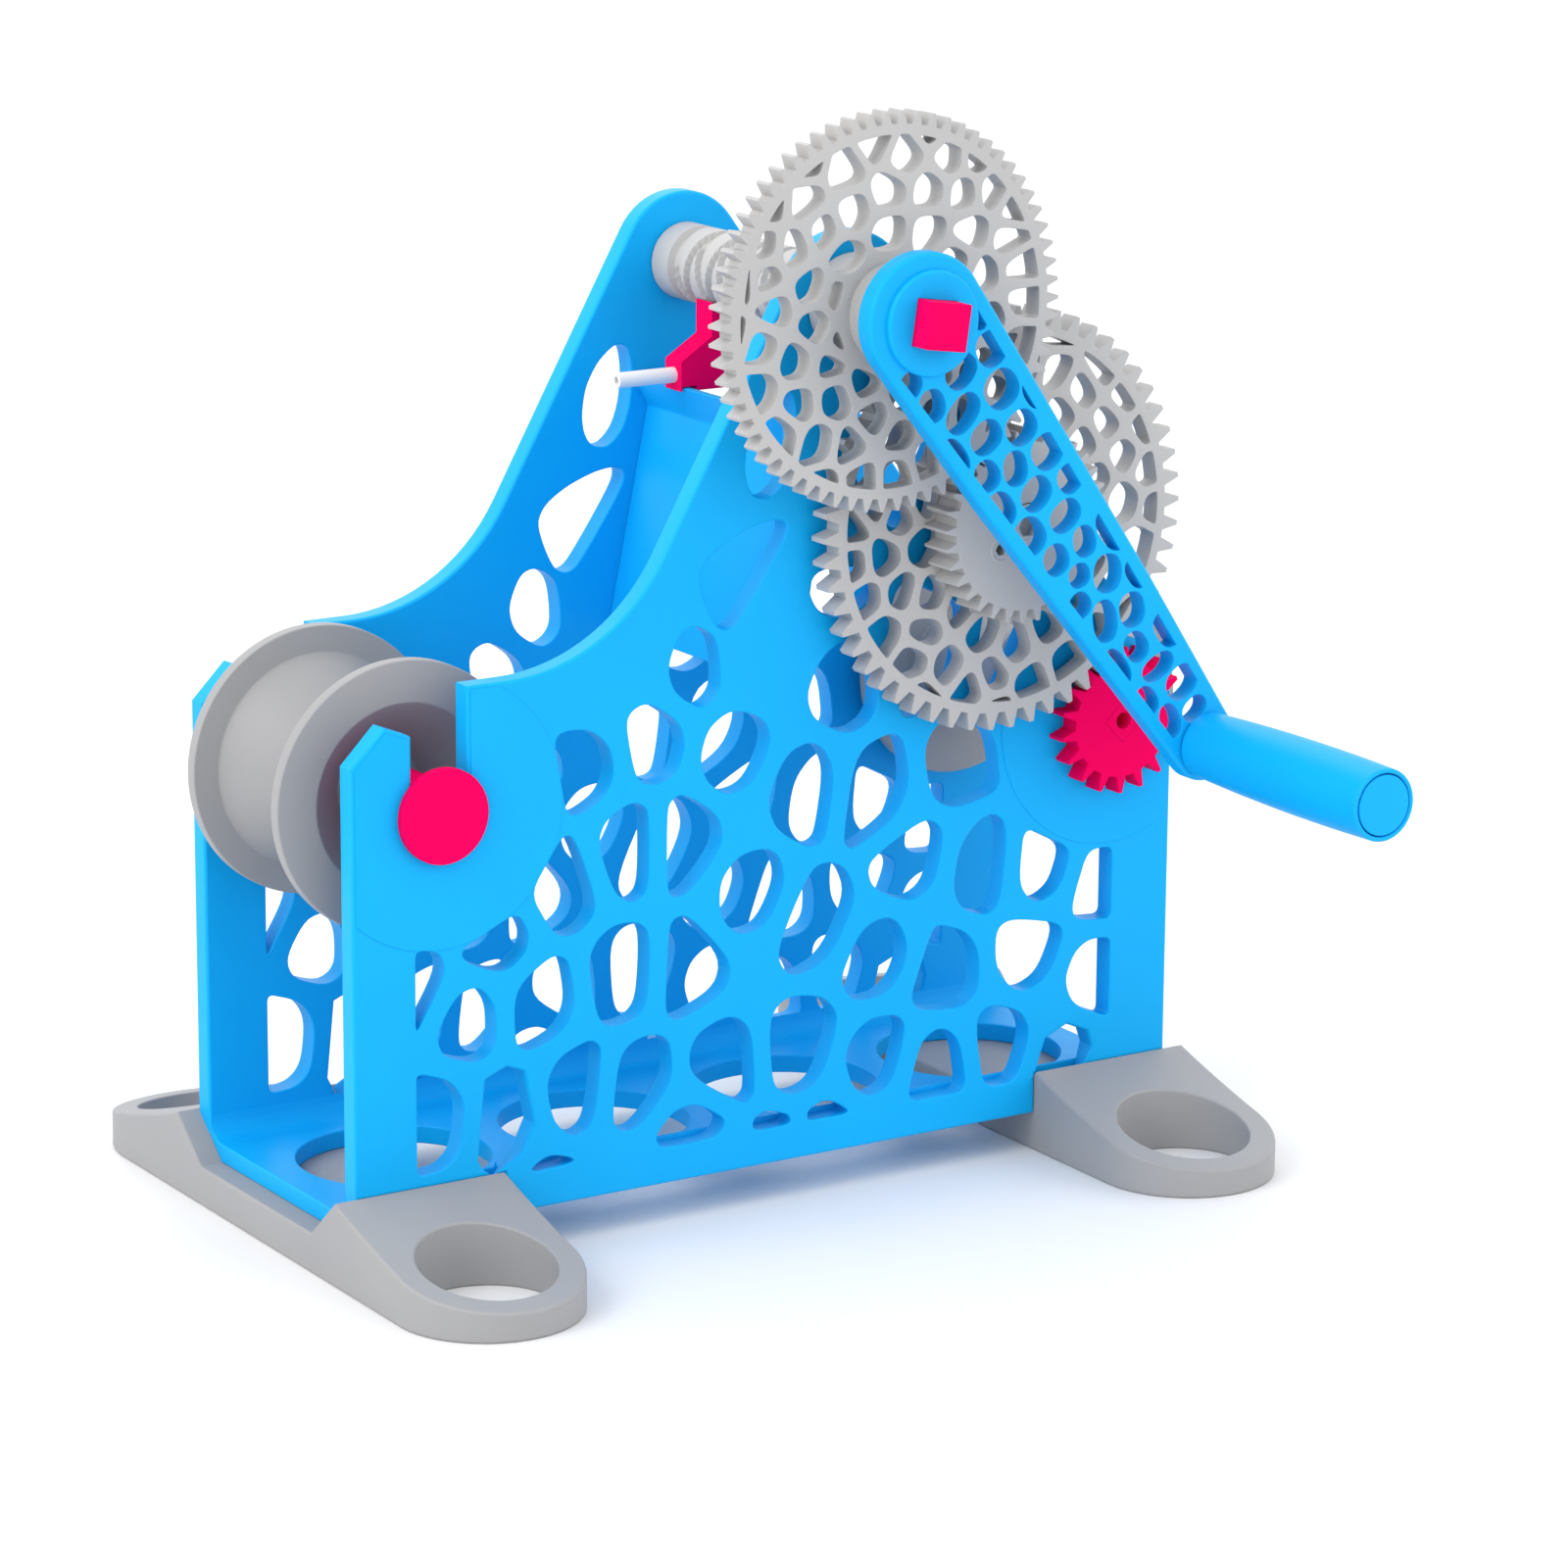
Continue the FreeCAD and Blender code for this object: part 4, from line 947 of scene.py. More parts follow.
    def _wall(self, node: str, face: float) -> bpy.types.Object:
        """Make a wall; its foot slants inwards where the feet grip it.

        Args:
            node: CAD node that the outlines come from.
            face: Y of the outer face.

        Returns:
            The wall.
        """
        inner = face - math.copysign(self.wall, face)
        rim = self.base + self.grip_height

        def lean(x: float, z: float, level: float) -> float:
            """Drop of the wall's lower edge at a point."""
            at_rim = abs(z - rim) < self.wall_edge + self.slack and self._gripped(x)
            return -abs(face + level) * self.grip_height / self.grip_depth if at_rim else 0.0

        name = node.replace("side_wall", "wall")
        levels = (-max(face, inner), -min(face, inner))
        return Bench.smooth(Plate(name, self._outlines(node, face), *levels, lean=lean).upright())

    def _pad(self, joint: str) -> bpy.types.Object:
        """Make the low round pad on the near wall's front about an axle, as far as the wall goes.

        Args:
            joint: The hinge whose axle it is.

        Returns:
            The pad.
        """
        front, top = self.half_width, self.half_width + self.pad
        name = f"pad_{joint.split('_turn')[0]}"
        wall = [
            Contour(inset(c.loop, c.edge), 0.0) for c in self._outlines("near_side_wall", -front)
        ]
        piece = Plate(name, wall, front - self.pad_root, top, 1).upright()
        disc = circle(self.pad_radius, self.frame.axle(joint), Way.RIM, self.pad_steps)
        cutter = Plate(
            "cutter", [Contour(disc, self.pad_edge)], front - 2 * self.pad_root,
            top + self.cutter_over,
        ).upright()
        Bench.apply(piece, "BOOLEAN", operation="INTERSECT", object=cutter, solver="EXACT")
        bpy.data.objects.remove(cutter)
        Bench.clean(piece)
        return Bench.smooth(piece)

    def _tray(self) -> bpy.types.Object:
        """Make the tray: round holes, a hollow fillet up to each wall, bevels in the feet's grip.

        Returns:
            The tray.
        """
        edge = self.floor_edge
        inner = self.half_width - self.wall
        wide = inner + edge
        left, right = self.middle - self.half_length, self.middle + self.half_length
        contours = [Contour([(left, -wide), (right, -wide), (right, wide), (left, wide)], edge)]
        for i in range(self.hole_count):
            along = (i - (self.hole_count - 1) / 2) * self.hole_pitch
            centre = (self.middle + along, 0.0)
            contours.append(Contour(circle(self.hole_radius, centre), edge))
        bend = inner - self.fillet
        cuts = [
            side * (bend + self.fillet * math.sin(math.radians(angle)))
            for side in (-1, 1) for angle in range(0, 90, self.fillet_step)
        ]
        grip = self.half_width - self.grip_depth

        def height(y: float) -> float:
            """Top of the tray at Y."""
            out = min(max(abs(y) - bend, 0.0), self.fillet)
            return self.base + self.floor + self.fillet - math.sqrt(self.fillet**2 - out**2)

        def rise(x: float, y: float) -> float:
            """Rise of the underside at a point."""
            out = max(0.0, abs(y) - grip)
            return out * self.grip_height / self.grip_depth if self._gripped(x) else 0.0

        plate = Plate("tray", contours, self.base, self.base + self.floor)
        across = [
            self.middle + side * x
            for side in (-1, 1) for x in (self.grip_start - 2 * self.slack, self.grip_start)
        ]
        return Relief(plate, height, [*cuts, -grip, grip], rise, across).build()

    def _foot(self, end: End) -> bpy.types.Object:
        """Make a foot: two round ends with a hole in each, and a seat for the tray.

        Args:
            end: The end of the frame that it carries.

        Returns:
            The foot.
        """
        half = self.foot_length / 2
        middle_x = self.middle + end.value * (self.half_length + self.foot_overhang - half)
        hole_y = self.half_width + self.foot_hole_offset
        outline = [
            polar(half, angle, (middle_x, y))
            for y, first in ((hole_y, 0), (-hole_y, 180))
            for angle in range(first, first + 181, self.foot_step)
        ]
        contours = [Contour(outline, self.foot_edge)]
        for y in (-hole_y, hole_y):
            contours.append(Contour(circle(self.foot_hole, (middle_x, y)), self.foot_hole_edge))
        cheek = self.base + self.grip_height
        seat_y = self.half_width - self.grip_depth
        ramp = arc_through(
            (self.half_width, cheek), (self.half_width + self.ramp[0], self.ramp[1]),
            (hole_y + half + self.ramp_over, self.tip_height), self.ramp_steps,
        )

        def height(y: float) -> float:
            """Top of the foot at Y."""
            out = abs(y)
            if out < seat_y:
                return self.base
            if out < self.half_width:
                return self.base + (out - seat_y) * self.grip_height / self.grip_depth
            for start, stop in zip(ramp, ramp[1:]):
                if out <= stop[0]:
                    share = (out - start[0]) / (stop[0] - start[0])
                    return start[1] + share * (stop[1] - start[1])
            return ramp[-1][1]

        cuts = [side * y for side in (-1, 1) for y in (seat_y, *(p[0] for p in ramp[:-1]))]
        plate = Plate(f"foot_{end.name.lower()}", contours, 0.0, cheek)
        return Relief(plate, height, cuts).build()


@dataclass
class SourceReel:
    """Source spool on its axle with two caps."""

    frame: Frame
    journal: float = 7.7
    journal_gap: float = 0.1
    cap_radius: float = 12.3
    cap: float = 2.9
    inner: float = 44.3
    stub: float = 5.0
    axle_edge: float = 0.5
    half: float = 25.0
    flange: float = 3.7
    flange_radius: float = 35.5
    cone_radius: float = 28.3
    waist_radius: float = 17.0
    waist: float = 4.0
    funnel_radius: float = 24.5
    funnel: float = 14.0
    spool_edge: float = 0.4
    spool_steps: int = 128

    def build(self) -> None:
        """Make and dress the axle, its cap and the spool."""
        axle = self.frame.axle("source_spool_turn")
        near, far = -self.inner, self.inner
        body = Turning("spool_axle", [
            (near - self.cap, 0), (near - self.cap, self.cap_radius), (near, self.cap_radius),
            (near, self.journal), (far, self.journal), (far, self.stub),
            (far + self.cap, self.stub), (far + self.cap, 0),
        ], axle, self.axle_edge)
        dress(body.build(), RED, "source_axle", "source_axle")
        cap = Turning("spool_axle_cap", [
            (far, self.stub), (far, self.cap_radius), (far + self.cap, self.cap_radius),
            (far + self.cap, self.stub),
        ], axle, self.axle_edge)
        dress(cap.build(), RED, "source_axle", "source_axle_cap")
        dress(self._spool(axle), FOOT_GREY, "source_spool", "source_spool")

    def _spool(self, axle: Point) -> bpy.types.Object:
        """Make the spool, with a waisted core and a funnel in each face.

        Args:
            axle: Place of its axle (x, z).

        Returns:
            The spool.
        """
        bore = self.journal + self.journal_gap
        flange = self.half - self.flange
        floor = self.half - self.funnel
        right = [
            (self.waist, self.waist_radius), (flange, self.cone_radius),
            (flange, self.flange_radius), (self.half, self.flange_radius),
            (self.half, self.funnel_radius), (floor, bore + self.flange), (floor, bore),
        ]
        left = [(-y, radius) for y, radius in reversed(right)]
        whole = right + left
        return Turning("spool_of_source", whole, axle, self.spool_edge, self.spool_steps).build()


@dataclass
class GearTrain:
    """Lattice gears, the small gears and the idler's axle.

    A gear's `back` is the Y of its face towards the wall, and a lattice gear's `rim` the radius
    of its rim's inner side. `mark` is where the small gear's socket lies from its axle.
    """

    frame: Frame
    wall_front: float = -44.0
    crank_gear_back: float = -57.5
    crank_gear_rim: float = 45.025
    idler_gear_back: float = -46.5
    idler_gear_rim: float = 48.9
    thickness: float = 6.0
    small_thickness: float = 10.5
    drive_thickness: float = 6.2
    tooth_edge: float = 0.2
    hole_edge: float = 0.25
    hole_steps: int = 5
    rim_slack: float = 0.25
    rim_reach: float = 1.1
    rim_step: float = 3.0
    hub_radius: float = 13.0
    hub_bore: float = 8.0
    hub_end: float = 11.3
    hub_edge: float = 0.5
    mark: Point = (-8.3, -5.2)
    socket_radius: float = 1.7
    ring_radii: Point = (2.7, 3.4)
    ring_root: float = 0.3
    ring_height: float = 0.25
    ring_edge: float = 0.1
    ring_steps: int = 48
    pin_edge: float = 0.25
    clip_edge: float = 0.15

    def build(self) -> None:
        """Make and dress every gear."""
        axle = self.frame.axle("crank_turn")
        crank = self._lattice_gear(
            "crank_gear", "gear_of_crank", axle, self.crank_gear_back, self.crank_gear_rim,
        )
        dress(crank, GEAR_GREY, "crank", "crank_gear")
        root, end = self.wall_front - GAP, self.crank_gear_back - self.thickness - self.hub_end
        hub = Turning("gear_hub", [
            (root, self.hub_bore), (root, self.hub_radius), (end, self.hub_radius),
            (end, self.hub_bore),
        ], axle, self.hub_edge)
        dress(hub.build(), GEAR_GREY, "crank")
        axle = self.frame.axle("idler_turn")
        idler = self._lattice_gear(
            "idler_gear", "gear_of_idler", axle, self.idler_gear_back, self.idler_gear_rim,
        )
        dress(idler, GEAR_GREY, "idler", "idler_gear")
        self._small_gear(axle)
        red = self._plain_gear("drive_pinion", "drive_gear", root, self.drive_thickness)
        dress(red, RED, "take_up", "drive_pinion")
        pin = self.frame.rounded_copy("idler_axle", "idler_pin", self.pin_edge)
        dress(pin, GEAR_GREY, "frame", "idler_axle")
        clip = self.frame.rounded_copy("idler_clip", "idler_ring", self.clip_edge)
        dress(clip, STEEL, "frame", "idler_clip")

    def _lattice_gear(
        self, node: str, name: str, centre: Point, back: float, rim: float,
    ) -> bpy.types.Object:
        """Make a gear whose lattice holes are rounded, with their outer sides on the rim's circle.

        Args:
            node: CAD node that the outlines come from.
            name: Name of the piece.
            centre: The gear's axis.
            back: Y of its back.
            rim: Radius of the rim's inner side.

        Returns:
            The gear.
        """
        teeth, *holes = self.frame.loops(node, back)
        contours = [Contour(teeth, self.tooth_edge)]
        for loop in holes:
            if math.dist(centre, loop[0]) >= self.hub_radius:
                contours.append(Contour(self._hole(loop, centre, rim), self.hole_edge))
        contours.append(Contour(circle(self.hub_radius, centre), self.tooth_edge))
        return Bench.smooth(Plate(name, contours, -back, -back + self.thickness, 2).upright())

    def _hole(self, loop: Loop, centre: Point, rim: float) -> Loop:
        """Round a hole, with its side on the rim along the rim's circle.

        Args:
            loop: Corners of the hole.
            centre: The gear's axis.
            rim: Radius of the rim's inner side.

        Returns:
            The rounded hole.
        """
        outer = [math.dist(corner, centre) > rim - self.rim_slack for corner in loop]
        angles = [math.atan2(z - centre[1], x - centre[0]) for x, z in loop]
        corners: Loop = []
        reaches: list[float] = []
        for i, corner in enumerate(loop):
            j = (i + 1) % len(loop)
            corners.append(polar(rim, math.degrees(angles[i]), centre) if outer[i] else corner)
            reaches.append(self.rim_reach if outer[i] else math.inf)
            if outer[i] and outer[j]:
                span = (angles[j] - angles[i] + math.pi) % math.tau - math.pi
                steps = max(2, round(abs(span) * rim / self.rim_step))
                corners += [
                    polar(rim, math.degrees(angles[i] + span * k / steps), centre)
                    for k in range(1, steps)
                ]
                reaches += [0.0] * (steps - 1)
        return rounded(corners, lambda k: reaches[k], self.hole_steps)

    def _small_gear(self, axle: Point) -> None:
        """Make and dress the small gear on the idler, with a ringed socket in its face.

        Args:
            axle: The idler's axis.
        """
        back = self.idler_gear_back - self.thickness
        spot = (axle[0] + self.mark[0], axle[1] + self.mark[1])
        socket = circle(self.socket_radius, spot, steps=6)
        gear = self._plain_gear("idler_pinion", "small_gear", back, self.small_thickness, [socket])
        dress(gear, GEAR_GREY, "idler", "idler_pinion")
        root = back - self.small_thickness + self.ring_root
        top = back - self.small_thickness - self.ring_height
        inner, outer = self.ring_radii
        ring = Turning(
            "socket_ring", [(root, inner), (root, outer), (top, outer), (top, inner)], spot,
            self.ring_edge, self.ring_steps,
        )
        dress(ring.build(), GEAR_GREY, "idler")

    def _plain_gear(
        self, node: str, name: str, back: float, thickness: float, sockets: Sequence[Loop] = (),
    ) -> bpy.types.Object:
        """Make a gear without a lattice.

        Args:
            node: CAD node that the outlines come from.
            name: Name of the piece.
            back: Y of its back.
            thickness: Its thickness.
            sockets: Holes that are cut through it besides its own.

        Returns:
            The gear.
        """
        loops = [*self.frame.loops(node, back - thickness), *sockets]
        contours = [Contour(loop, self.tooth_edge) for loop in loops]
        return Bench.smooth(Plate(name, contours, -back, -back + thickness, 2).upright())


@dataclass
class TakeUp:
    """Take-up spool and its shaft."""

    frame: Frame
    half: float = 31.0
    flange: float = 3.0
    flange_radius: float = 31.0
    core: float = 15.0
    bore: float = 8.6
    spool_edge: float = 0.5
    shaft_edge: float = 0.4

    def build(self) -> None:
        """Make and dress the spool and the shaft."""
        half, inner = self.half, self.half - self.flange
        spool = Turning("spool_of_take_up", [
            (-half, self.bore), (-half, self.flange_radius), (-inner, self.flange_radius),
            (-inner, self.core), (inner, self.core), (inner, self.flange_radius),
            (half, self.flange_radius), (half, self.bore),
        ], self.frame.axle("take_up_turn"), self.spool_edge)
        dress(spool.build(), FOOT_GREY, "take_up", "take_up_spool")
        shaft = self.frame.rounded_copy("take_up_shaft", "take_up_bar", self.shaft_edge)
        dress(shaft, RED, "take_up", "take_up_shaft")


@dataclass
class Crank:
    """Crank arm, its handle, the square bar and the grooved barrel.

    The arm is laid out along and across its own middle line: `outline` holds circles that it
    wraps, `borders` the heights of the upper and the lower border at both ends, and `cells` its
    holes (middle, half sizes and tilt). `square` is half the side of the hole for the bar.
    """

    frame: Frame
    angle: float = 53.3
    length: float = 148.9
    outline: tuple[Triple, ...] = (
        (-0.8, -0.5, 17.4), (50.0, -0.5, 15.7), (100.0, -0.2, 13.0), (148.9, 0.0, 9.9),
    )
    borders: tuple[Point, Point] = ((12.7, 7.2), (-15.4, -6.4))
    cells: tuple[tuple[float, float, float, float, float], ...] = (
        (8.8, 11.9, 3.22, 2.02, -30), (17.4, 9.8, 4.82, 4.42, -10), (27.9, 6.2, 5.22, 5.22, 0),
        (35.5, 12.8, 4.32, 2.62, 0), (40.1, 5.0, 4.62, 4.82, 0), (50.5, 7.3, 4.82, 4.72, 0),
        (61.0, 8.5, 4.02, 3.72, 0), (68.0, 1.9, 4.02, 5.02, 0), (80.8, 10.5, 6.32, 3.72, 0),
        (77.5, 2.5, 4.32, 3.52, -20), (89.4, 3.0, 5.22, 4.42, -35), (95.6, 9.5, 4.42, 2.62, 0),
        (102.6, 3.2, 4.82, 4.02, -25), (114.6, 8.4, 5.32, 3.62, 0), (120.8, 0.5, 3.32, 5.32, -8),
        (129.5, 3.8, 4.52, 5.12, 0), (138.2, 2.7, 3.12, 4.02, 0), (16.0, -0.4, 4.12, 5.02, 10),
        (25.2, -6.2, 4.12, 5.92, 12), (34.9, -4.5, 4.32, 4.92, 0), (47.5, -2.5, 4.72, 3.72, -25),
        (57.2, -1.5, 4.32, 4.92, 8), (75.5, -6.9, 4.32, 3.92, -10), (83.8, -3.9, 3.32, 3.32, -15),
        (90.4, -8.2, 3.62, 3.32, 0), (99.2, -4.9, 5.82, 3.82, -25), (111.6, -1.5, 4.42, 3.62, 0),
        (8.8, -13.7, 3.32, 3.32, 30), (17.4, -12.1, 4.42, 3.92, -20), (32.8, -14.3, 5.52, 3.12, 0),
        (43.2, -10.0, 4.32, 3.72, 0), (53.3, -12.0, 5.12, 4.12, 0), (64.9, -9.4, 5.32, 4.72, 0),
        (112.0, -9.0, 5.92, 3.02, 0), (125.9, -7.4, 4.42, 3.32, 0), (135.5, -4.9, 5.02, 3.12, -12),
    )
    back: float = -74.8
    thickness: float = 6.2
    outer_edge: float = 1.1
    cell_edge: float = 0.22
    square: float = 6.03
    square_edge: float = 0.2
    bar_edge: float = 0.35
    boss: float = 1.6
    boss_root: float = 1.0
    boss_radius: float = 13.5
    boss_edge: float = 0.9
    grip_length: float = 74.0
    grip_gap: float = 0.4
    grip_radii: Triple = (8.8, 9.9, 9.5)
    grip_edge: float = 0.6
    grip_steps: int = 12
    pin: float = 5.0
    pin_gap: float = 0.1
    pin_head: float = 7.9
    pin_head_depth: float = 3.0
    pin_edge: float = 0.35
    barrel_radius: float = 10.3
    barrel_bore: float = 6.2
    barrel_chamfer: float = 0.3
    barrel_rings: int = 216
    barrel_steps: int = 144
    stub_radius: float = 7.0
    lead: float = 10.828125
    turns: int = 5
    groove_width: float = 3.0
    groove_floor: float = 0.7
    groove_depth: float = 1.65
    barrel_front: float = -44.0
    barrel_step: float = 37.2
    barrel_back: float = 44.0

    def __post_init__(self) -> None:
        """Read the crank's axis from the frame."""
        self.axle = self.frame.axle("crank_turn")

    def build(self) -> None:
        """Make and dress the crank's pieces."""
        dress(self._arm(), BLUE, "crank", "crank_arm")
        dress(self._boss(), BLUE, "crank")
        bar = self.frame.rounded_copy("crank_shaft", "square_bar", self.bar_edge)
        dress(bar, RED, "crank", "crank_shaft")
        dress(self._barrel(), GEAR_GREY, "crank", "barrel_cam")
        root = self.back - self.thickness - self.grip_gap
        tip = root - self.grip_length
        handle = polar(self.length, -self.angle, self.axle)
        pin = Turning("handle_core", [
            (self.back, 0), (self.back, self.pin), (tip + self.pin_head_depth, self.pin),
            (tip + self.pin_head_depth, self.pin_head), (tip, self.pin_head), (tip, 0),
        ], handle, self.pin_edge)
        dress(pin.build(), BLUE, "crank", "handle_pin")
        dress(self._grip(handle, root, tip), BLUE, "handle", "handle_grip")

    def _socket(self, centre: Point = (0.0, 0.0), start: float = 0.0) -> Contour:
        """Square hole for the bar, with its first corner at an angle."""
        corner = self.square * math.sqrt(2)
        return Contour(circle(corner, centre, steps=4, start=start), self.square_edge)

    def _arm(self) -> bpy.types.Object:
        """Make the arm, a lattice of ovals between plain borders round the hole for the bar.

        Returns:
            The arm.
        """
        upper, lower = self.borders
        contours = [Contour(hull(self.outline), self.outer_edge), self._socket()]
        for along, across, half_length, half_width, tilt in self.cells:
            hole = oval((along, across), (half_length, half_width), tilt)
            hole = kept_left(hole, (0.0, lower[0]), (self.length, lower[1]))
            hole = kept_left(hole, (self.length, upper[1]), (0.0, upper[0]))
            contours.append(Contour(hole, self.cell_edge))
        piece = Plate("arm", contours, -self.back, -self.back + self.thickness).build()
        turn = Matrix.Rotation(math.radians(-self.angle), 4, "Z")
        place = Matrix.Translation((self.axle[0] * MM, self.axle[1] * MM, 0.0))
        piece.data.transform(UPRIGHT @ place @ turn)
        return Bench.smooth(piece)

    def _boss(self) -> bpy.types.Object:
        """Make the round boss on the arm's head, round the square bar.

        Returns:
            The boss.
        """
        disc = Contour(circle(self.boss_radius, self.axle, Way.RIM), self.boss_edge)
        front = -self.back + self.thickness
        contours = [disc, self._socket(self.axle, -self.angle)]
        boss = Plate("arm_boss", contours, front - self.boss_root, front + self.boss)
        return Bench.smooth(boss.upright())

    def _grip(self, handle: Point, root: float, tip: float) -> bpy.types.Object:
        """Make the grip, a swollen sleeve with a sunk seat for the pin's head.

        Args:
            handle: Place of the handle's axis (x, z).
            root: Y of its end at the arm.
            tip: Y of its free end.

        Returns:
            The grip.
        """
        base, waist, end = self.grip_radii
        bore = self.pin + self.pin_gap
        seat = self.pin_head + GAP
        step = tip + self.pin_head_depth + GAP
        profile = arc_through((root, base), ((root + tip) / 2, waist), (tip, end), self.grip_steps)
        profile += [(tip, seat), (step, seat), (step, bore), (root, bore)]
        return Turning("grip", profile, handle, self.grip_edge).build()

    def _barrel(self) -> bpy.types.Object:
        """Make the barrel, with two crossed helical grooves joined at both ends.

        Returns:
            The barrel.
        """
        chamfer, steps = self.barrel_chamfer, self.barrel_steps
        x, z = self.axle
        start, end = self.barrel_front + chamfer, self.barrel_step - chamfer
        profile = [
            (self.barrel_front, self.barrel_bore),
            (self.barrel_front, self.barrel_radius - chamfer),
        ]
        profile += [
            (start + (end - start) * k / self.barrel_rings, self.barrel_radius)
            for k in range(self.barrel_rings + 1)
        ]
        profile += [
            (self.barrel_step, self.barrel_radius - chamfer), (self.barrel_step, self.stub_radius),
            (self.barrel_back - chamfer, self.stub_radius),
            (self.barrel_back, self.stub_radius - chamfer),
        ]
        verts: list[Triple] = []
        for y, radius in profile:
            for k in range(steps):
                angle = math.tau * k / steps
                deep = self._groove(y, angle) if radius == self.barrel_radius else 0.0
                out = radius - deep
                verts.append((x + out * math.sin(angle), y, z + out * math.cos(angle)))
        last = len(verts) - steps
        faces = [
            (ring + k, ring + (k + 1) % steps, ring + steps + (k + 1) % steps, ring + steps + k)
            for ring in range(0, last, steps) for k in range(steps)
        ]
        faces += [tuple(range(steps)), tuple(range(last, last + steps))]
        piece = Bench.new_piece("barrel", verts, faces=faces)
        Bench.clean(piece)
        return Bench.smooth(piece, 50.0)

    def _groove(self, y: float, angle: float) -> float:
        """Depth of the grooves at a place on the barrel.

        Args:
            y: The place along the barrel.
            angle: The place round it, in radians.

        Returns:
            The depth.
        """
        half = self.turns * self.lead / 2
        nearest = min(abs(y - half), abs(y + half))
        for hand in Hand:
            phase = (hand.value * angle / math.tau) % 1.0
            for k in range(-1, self.turns + 1):
                line = -half + (k + phase) * self.lead
                if abs(line) <= half + HAIR:
                    nearest = min(nearest, abs(y - line))
        wide = self.groove_width / 2
        share = min(1.0, max(0.0, (wide - nearest) / (wide - wide * self.groove_floor)))
        return self.groove_depth * share * share * (3 - 2 * share)


@dataclass
class Carriage:
    """Filament carriage, its follower and the guide tube."""

    frame: Frame
    saddle_edge: float = 0.35
    follower_edge: float = 0.2
    offset: float = 14.0
    tube_left: float = 34.9
    tube_right: float = 8.0
    tube_drop: float = 26.0
    tube_radius: float = 2.1
    tube_edge: float = 0.2
    tube_bore: float = 1.0
    tube_bore_edge: float = 0.15
    tube_steps: int = 36

    def build(self) -> None:
        """Make and dress the carriage's pieces."""
        saddle = self.frame.rounded_copy("carriage", "saddle", self.saddle_edge)
        dress(saddle, RED, "carriage", "carriage")
        pin = self.frame.rounded_copy("follower_pin", "follower", self.follower_edge)
        dress(pin, RED, "carriage", "follower_pin")
        dress(self._tube(), TUBE_WHITE, "carriage", "guide_tube")

    def _tube(self) -> bpy.types.Object:
        """Make the round tube along X.

        Returns:
            The tube.
        """
        contours = [
            Contour(circle(self.tube_radius, way=Way.RIM, steps=self.tube_steps), self.tube_edge),
            Contour(circle(self.tube_bore, steps=self.tube_steps), self.tube_bore_edge),
        ]
        x, z = self.frame.axle("crank_turn")
        ends = (x - self.tube_left, x + self.tube_right)
        piece = Plate("filament_tube", contours, *ends).build()
        piece.data.transform(Matrix.Rotation(math.radians(90), 4, "Y"))
        place = (0, self.offset * MM, (z - self.tube_drop) * MM)
        piece.data.transform(Matrix.Translation(place))
        Bench.clean(piece)
        return Bench.smooth(piece)


# Studio


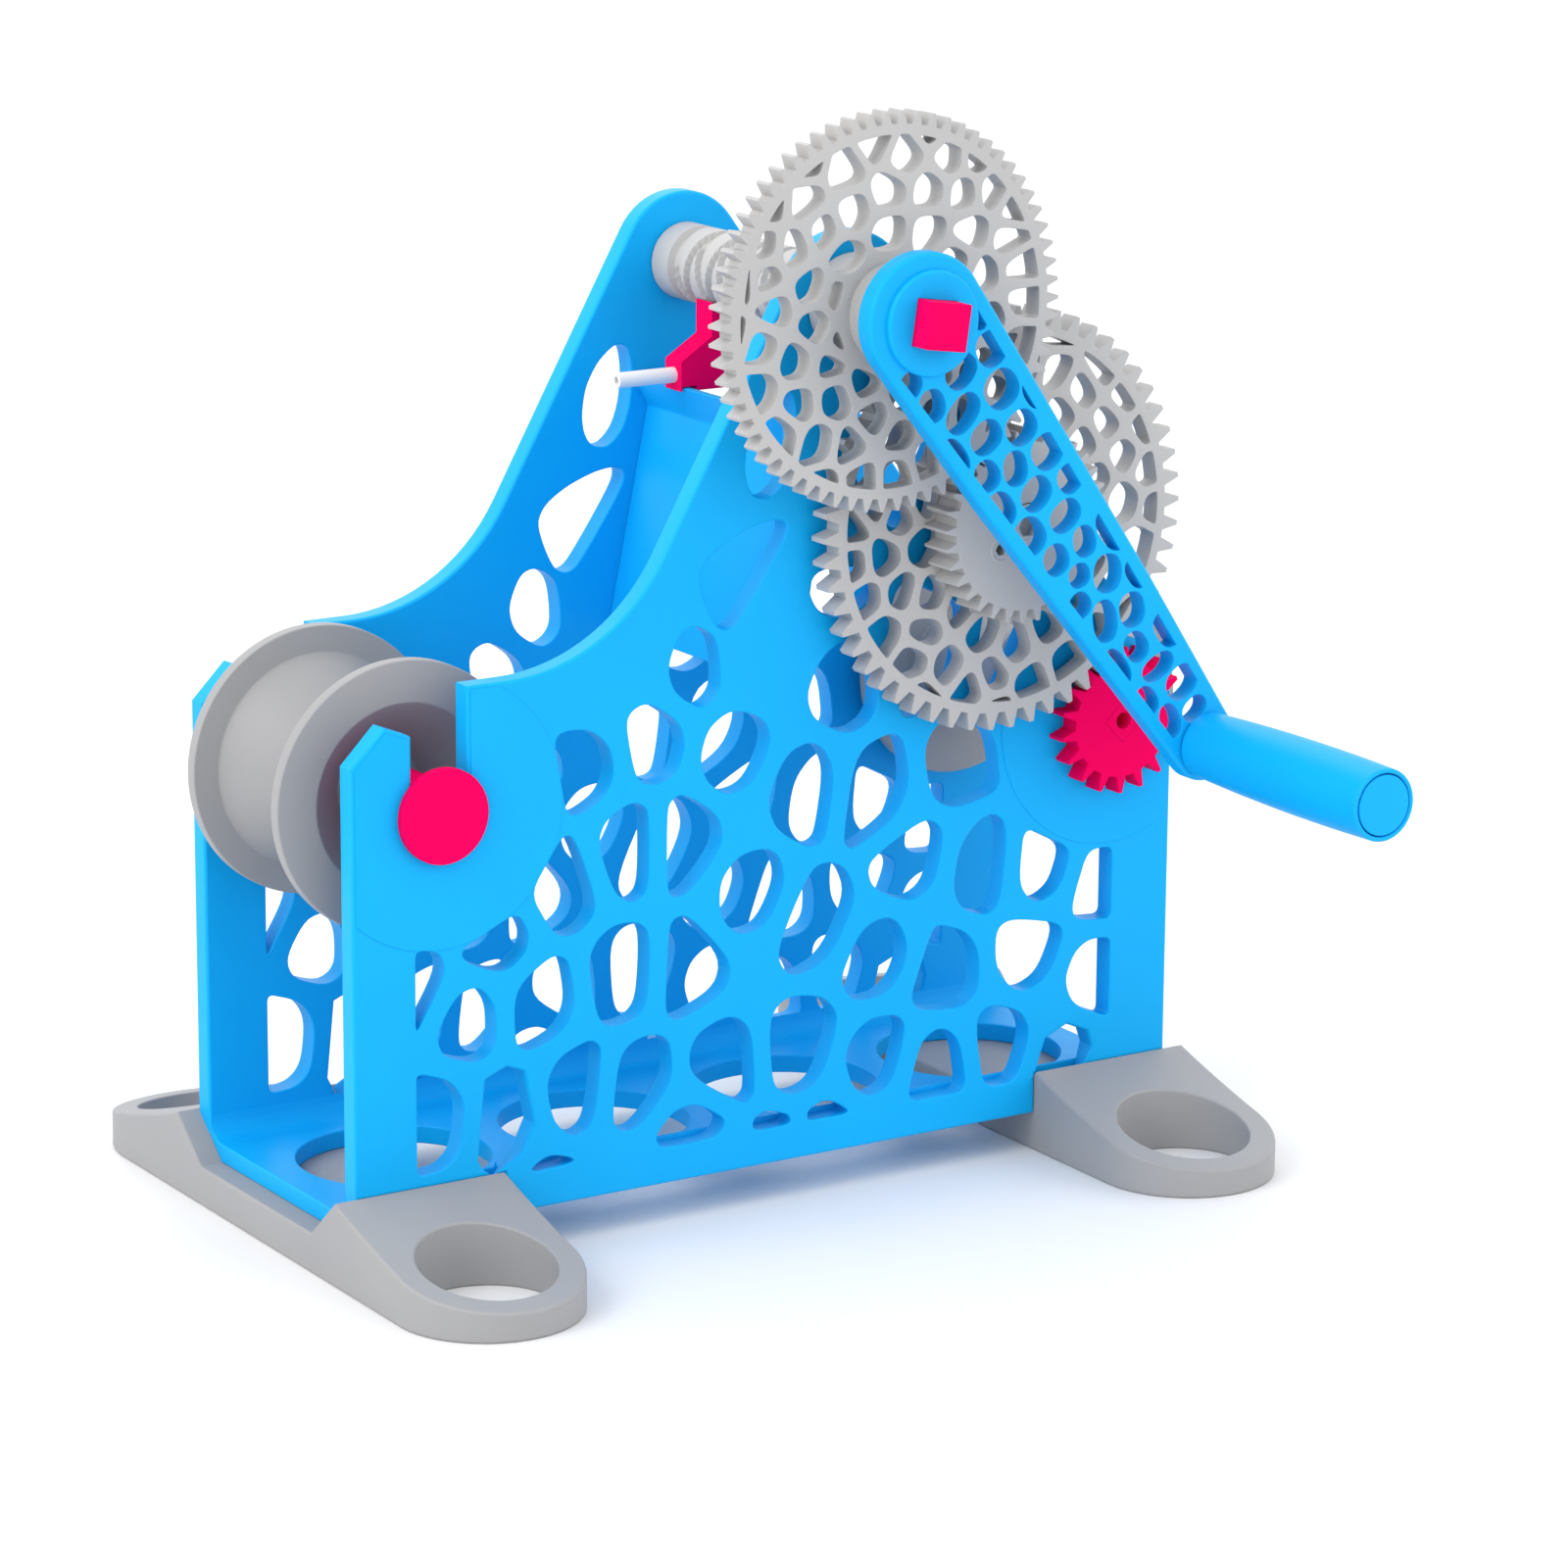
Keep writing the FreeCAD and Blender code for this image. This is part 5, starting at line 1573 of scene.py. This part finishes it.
@dataclass
class Studio:
    """Floor, light and the camera at the photograph's angle.

    The lamps hold a name, a place in metres, a size in metres and a power in watts. The camera's
    axis meets the picture at `axis_pixel`, and `focal` and `picture` are pixels too.
    """

    focal: float = 5553.02
    picture: float = 1600.0
    sensor: float = 36.0
    heading: float = 32.114
    dip: float = 13.687
    roll: float = 0.3145
    axis_pixel: Point = (760.0, 740.0)
    distance: float = 1444.7
    anchor: Triple = (122.5, 0.0, 129.07)
    anchor_shift: Point = (-0.627, 11.275)
    far_clip: float = 20.0
    floor_size: float = 8.0
    floor_colour: Triple = (0.79, 0.79, 0.8)
    floor_roughness: float = 0.7
    floor_shine: float = 0.2
    surroundings: float = 1.36
    lamp_aim: Triple = (0.11, 0.0, 0.12)
    lamps: list[tuple[str, Triple, float, float]] = field(default_factory=lambda: [
        ("key", (-1.15, -0.15, 1.05), 0.9, 8.5),
        ("fill", (1.2, -0.9, 0.5), 1.0, 2.0),
        ("back", (0.3, 1.1, 0.9), 0.9, 2.0),
    ])

    def build(self) -> None:
        """Set up the floor, the world, the lamps and the camera."""
        self._floor()
        self._world()
        for lamp in self.lamps:
            self._lamp(*lamp)
        self._camera()
        bpy.context.scene.view_settings.view_transform = "Standard"

    def _floor(self) -> None:
        """Make the wide pale floor under the feet."""
        bpy.ops.object.select_all(action="DESELECT")
        bpy.ops.mesh.primitive_plane_add(size=self.floor_size)
        floor = bpy.context.active_object
        floor.name = "floor"
        made = bpy.data.materials.new("pale_floor")
        made.use_nodes = True
        shader = made.node_tree.nodes["Principled BSDF"]
        shader.inputs["Base Color"].default_value = (*self.floor_colour, 1.0)
        shader.inputs["Roughness"].default_value = self.floor_roughness
        shader.inputs["Specular IOR Level"].default_value = self.floor_shine
        floor.data.materials.append(made)

    def _world(self) -> None:
        """Make the even white surroundings."""
        world = bpy.data.worlds.new("studio")
        world.use_nodes = True
        backdrop = world.node_tree.nodes["Background"]
        backdrop.inputs["Color"].default_value = (1.0, 1.0, 1.0, 1.0)
        backdrop.inputs["Strength"].default_value = self.surroundings
        bpy.context.scene.world = world

    def _lamp(self, name: str, place: Triple, size: float, power: float) -> None:
        """Hang a soft square lamp that faces the object.

        Args:
            name: Its name.
            place: Its place in metres.
            size: Its side in metres.
            power: Its power in watts.
        """
        data = bpy.data.lights.new(name, "AREA")
        data.energy = power
        data.size = size
        lamp = Bench.place(name, data)
        lamp.location = place
        aim = Vector(self.lamp_aim) - Vector(place)
        lamp.rotation_mode = "QUATERNION"
        lamp.rotation_quaternion = aim.to_track_quat("-Z", "Y")

    def _camera(self) -> None:
        """Set the camera at the photograph's viewing angle, distance and framing."""
        heading, dip, roll = (math.radians(a) for a in (self.heading, self.dip, self.roll))
        level = Vector((math.cos(heading), -math.sin(heading), 0.0))
        forward = Vector((
            math.sin(heading) * math.cos(dip), math.cos(heading) * math.cos(dip), -math.sin(dip),
        ))
        rise = level.cross(forward)
        right = level * math.cos(roll) + rise * math.sin(roll)
        up = rise * math.cos(roll) - level * math.sin(roll)
        place = Vector(self.anchor) - forward * self.distance
        place -= right * self.anchor_shift[0] + up * self.anchor_shift[1]
        data = bpy.data.cameras.new("camera")
        data.sensor_width = self.sensor
        data.lens = self.focal * self.sensor / self.picture
        data.shift_x = (self.picture / 2 - self.axis_pixel[0]) / self.picture
        data.shift_y = (self.axis_pixel[1] - self.picture / 2) / self.picture
        data.clip_end = self.far_clip
        camera = Bench.place("camera", data)
        turn = Matrix((right, up, -forward)).transposed().to_4x4()
        camera.matrix_world = Matrix.Translation(place * MM) @ turn
        bpy.context.scene.camera = camera


def main() -> None:
    """Build the winder's looks and its studio."""
    logging.basicConfig(level=logging.INFO, format="%(message)s")
    frame = Frame()
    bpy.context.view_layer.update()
    for assembly in (PrintedFrame, SourceReel, GearTrain, TakeUp, Crank, Carriage):
        assembly(frame).build()
    Studio().build()


if __name__ == "__main__":
    main()
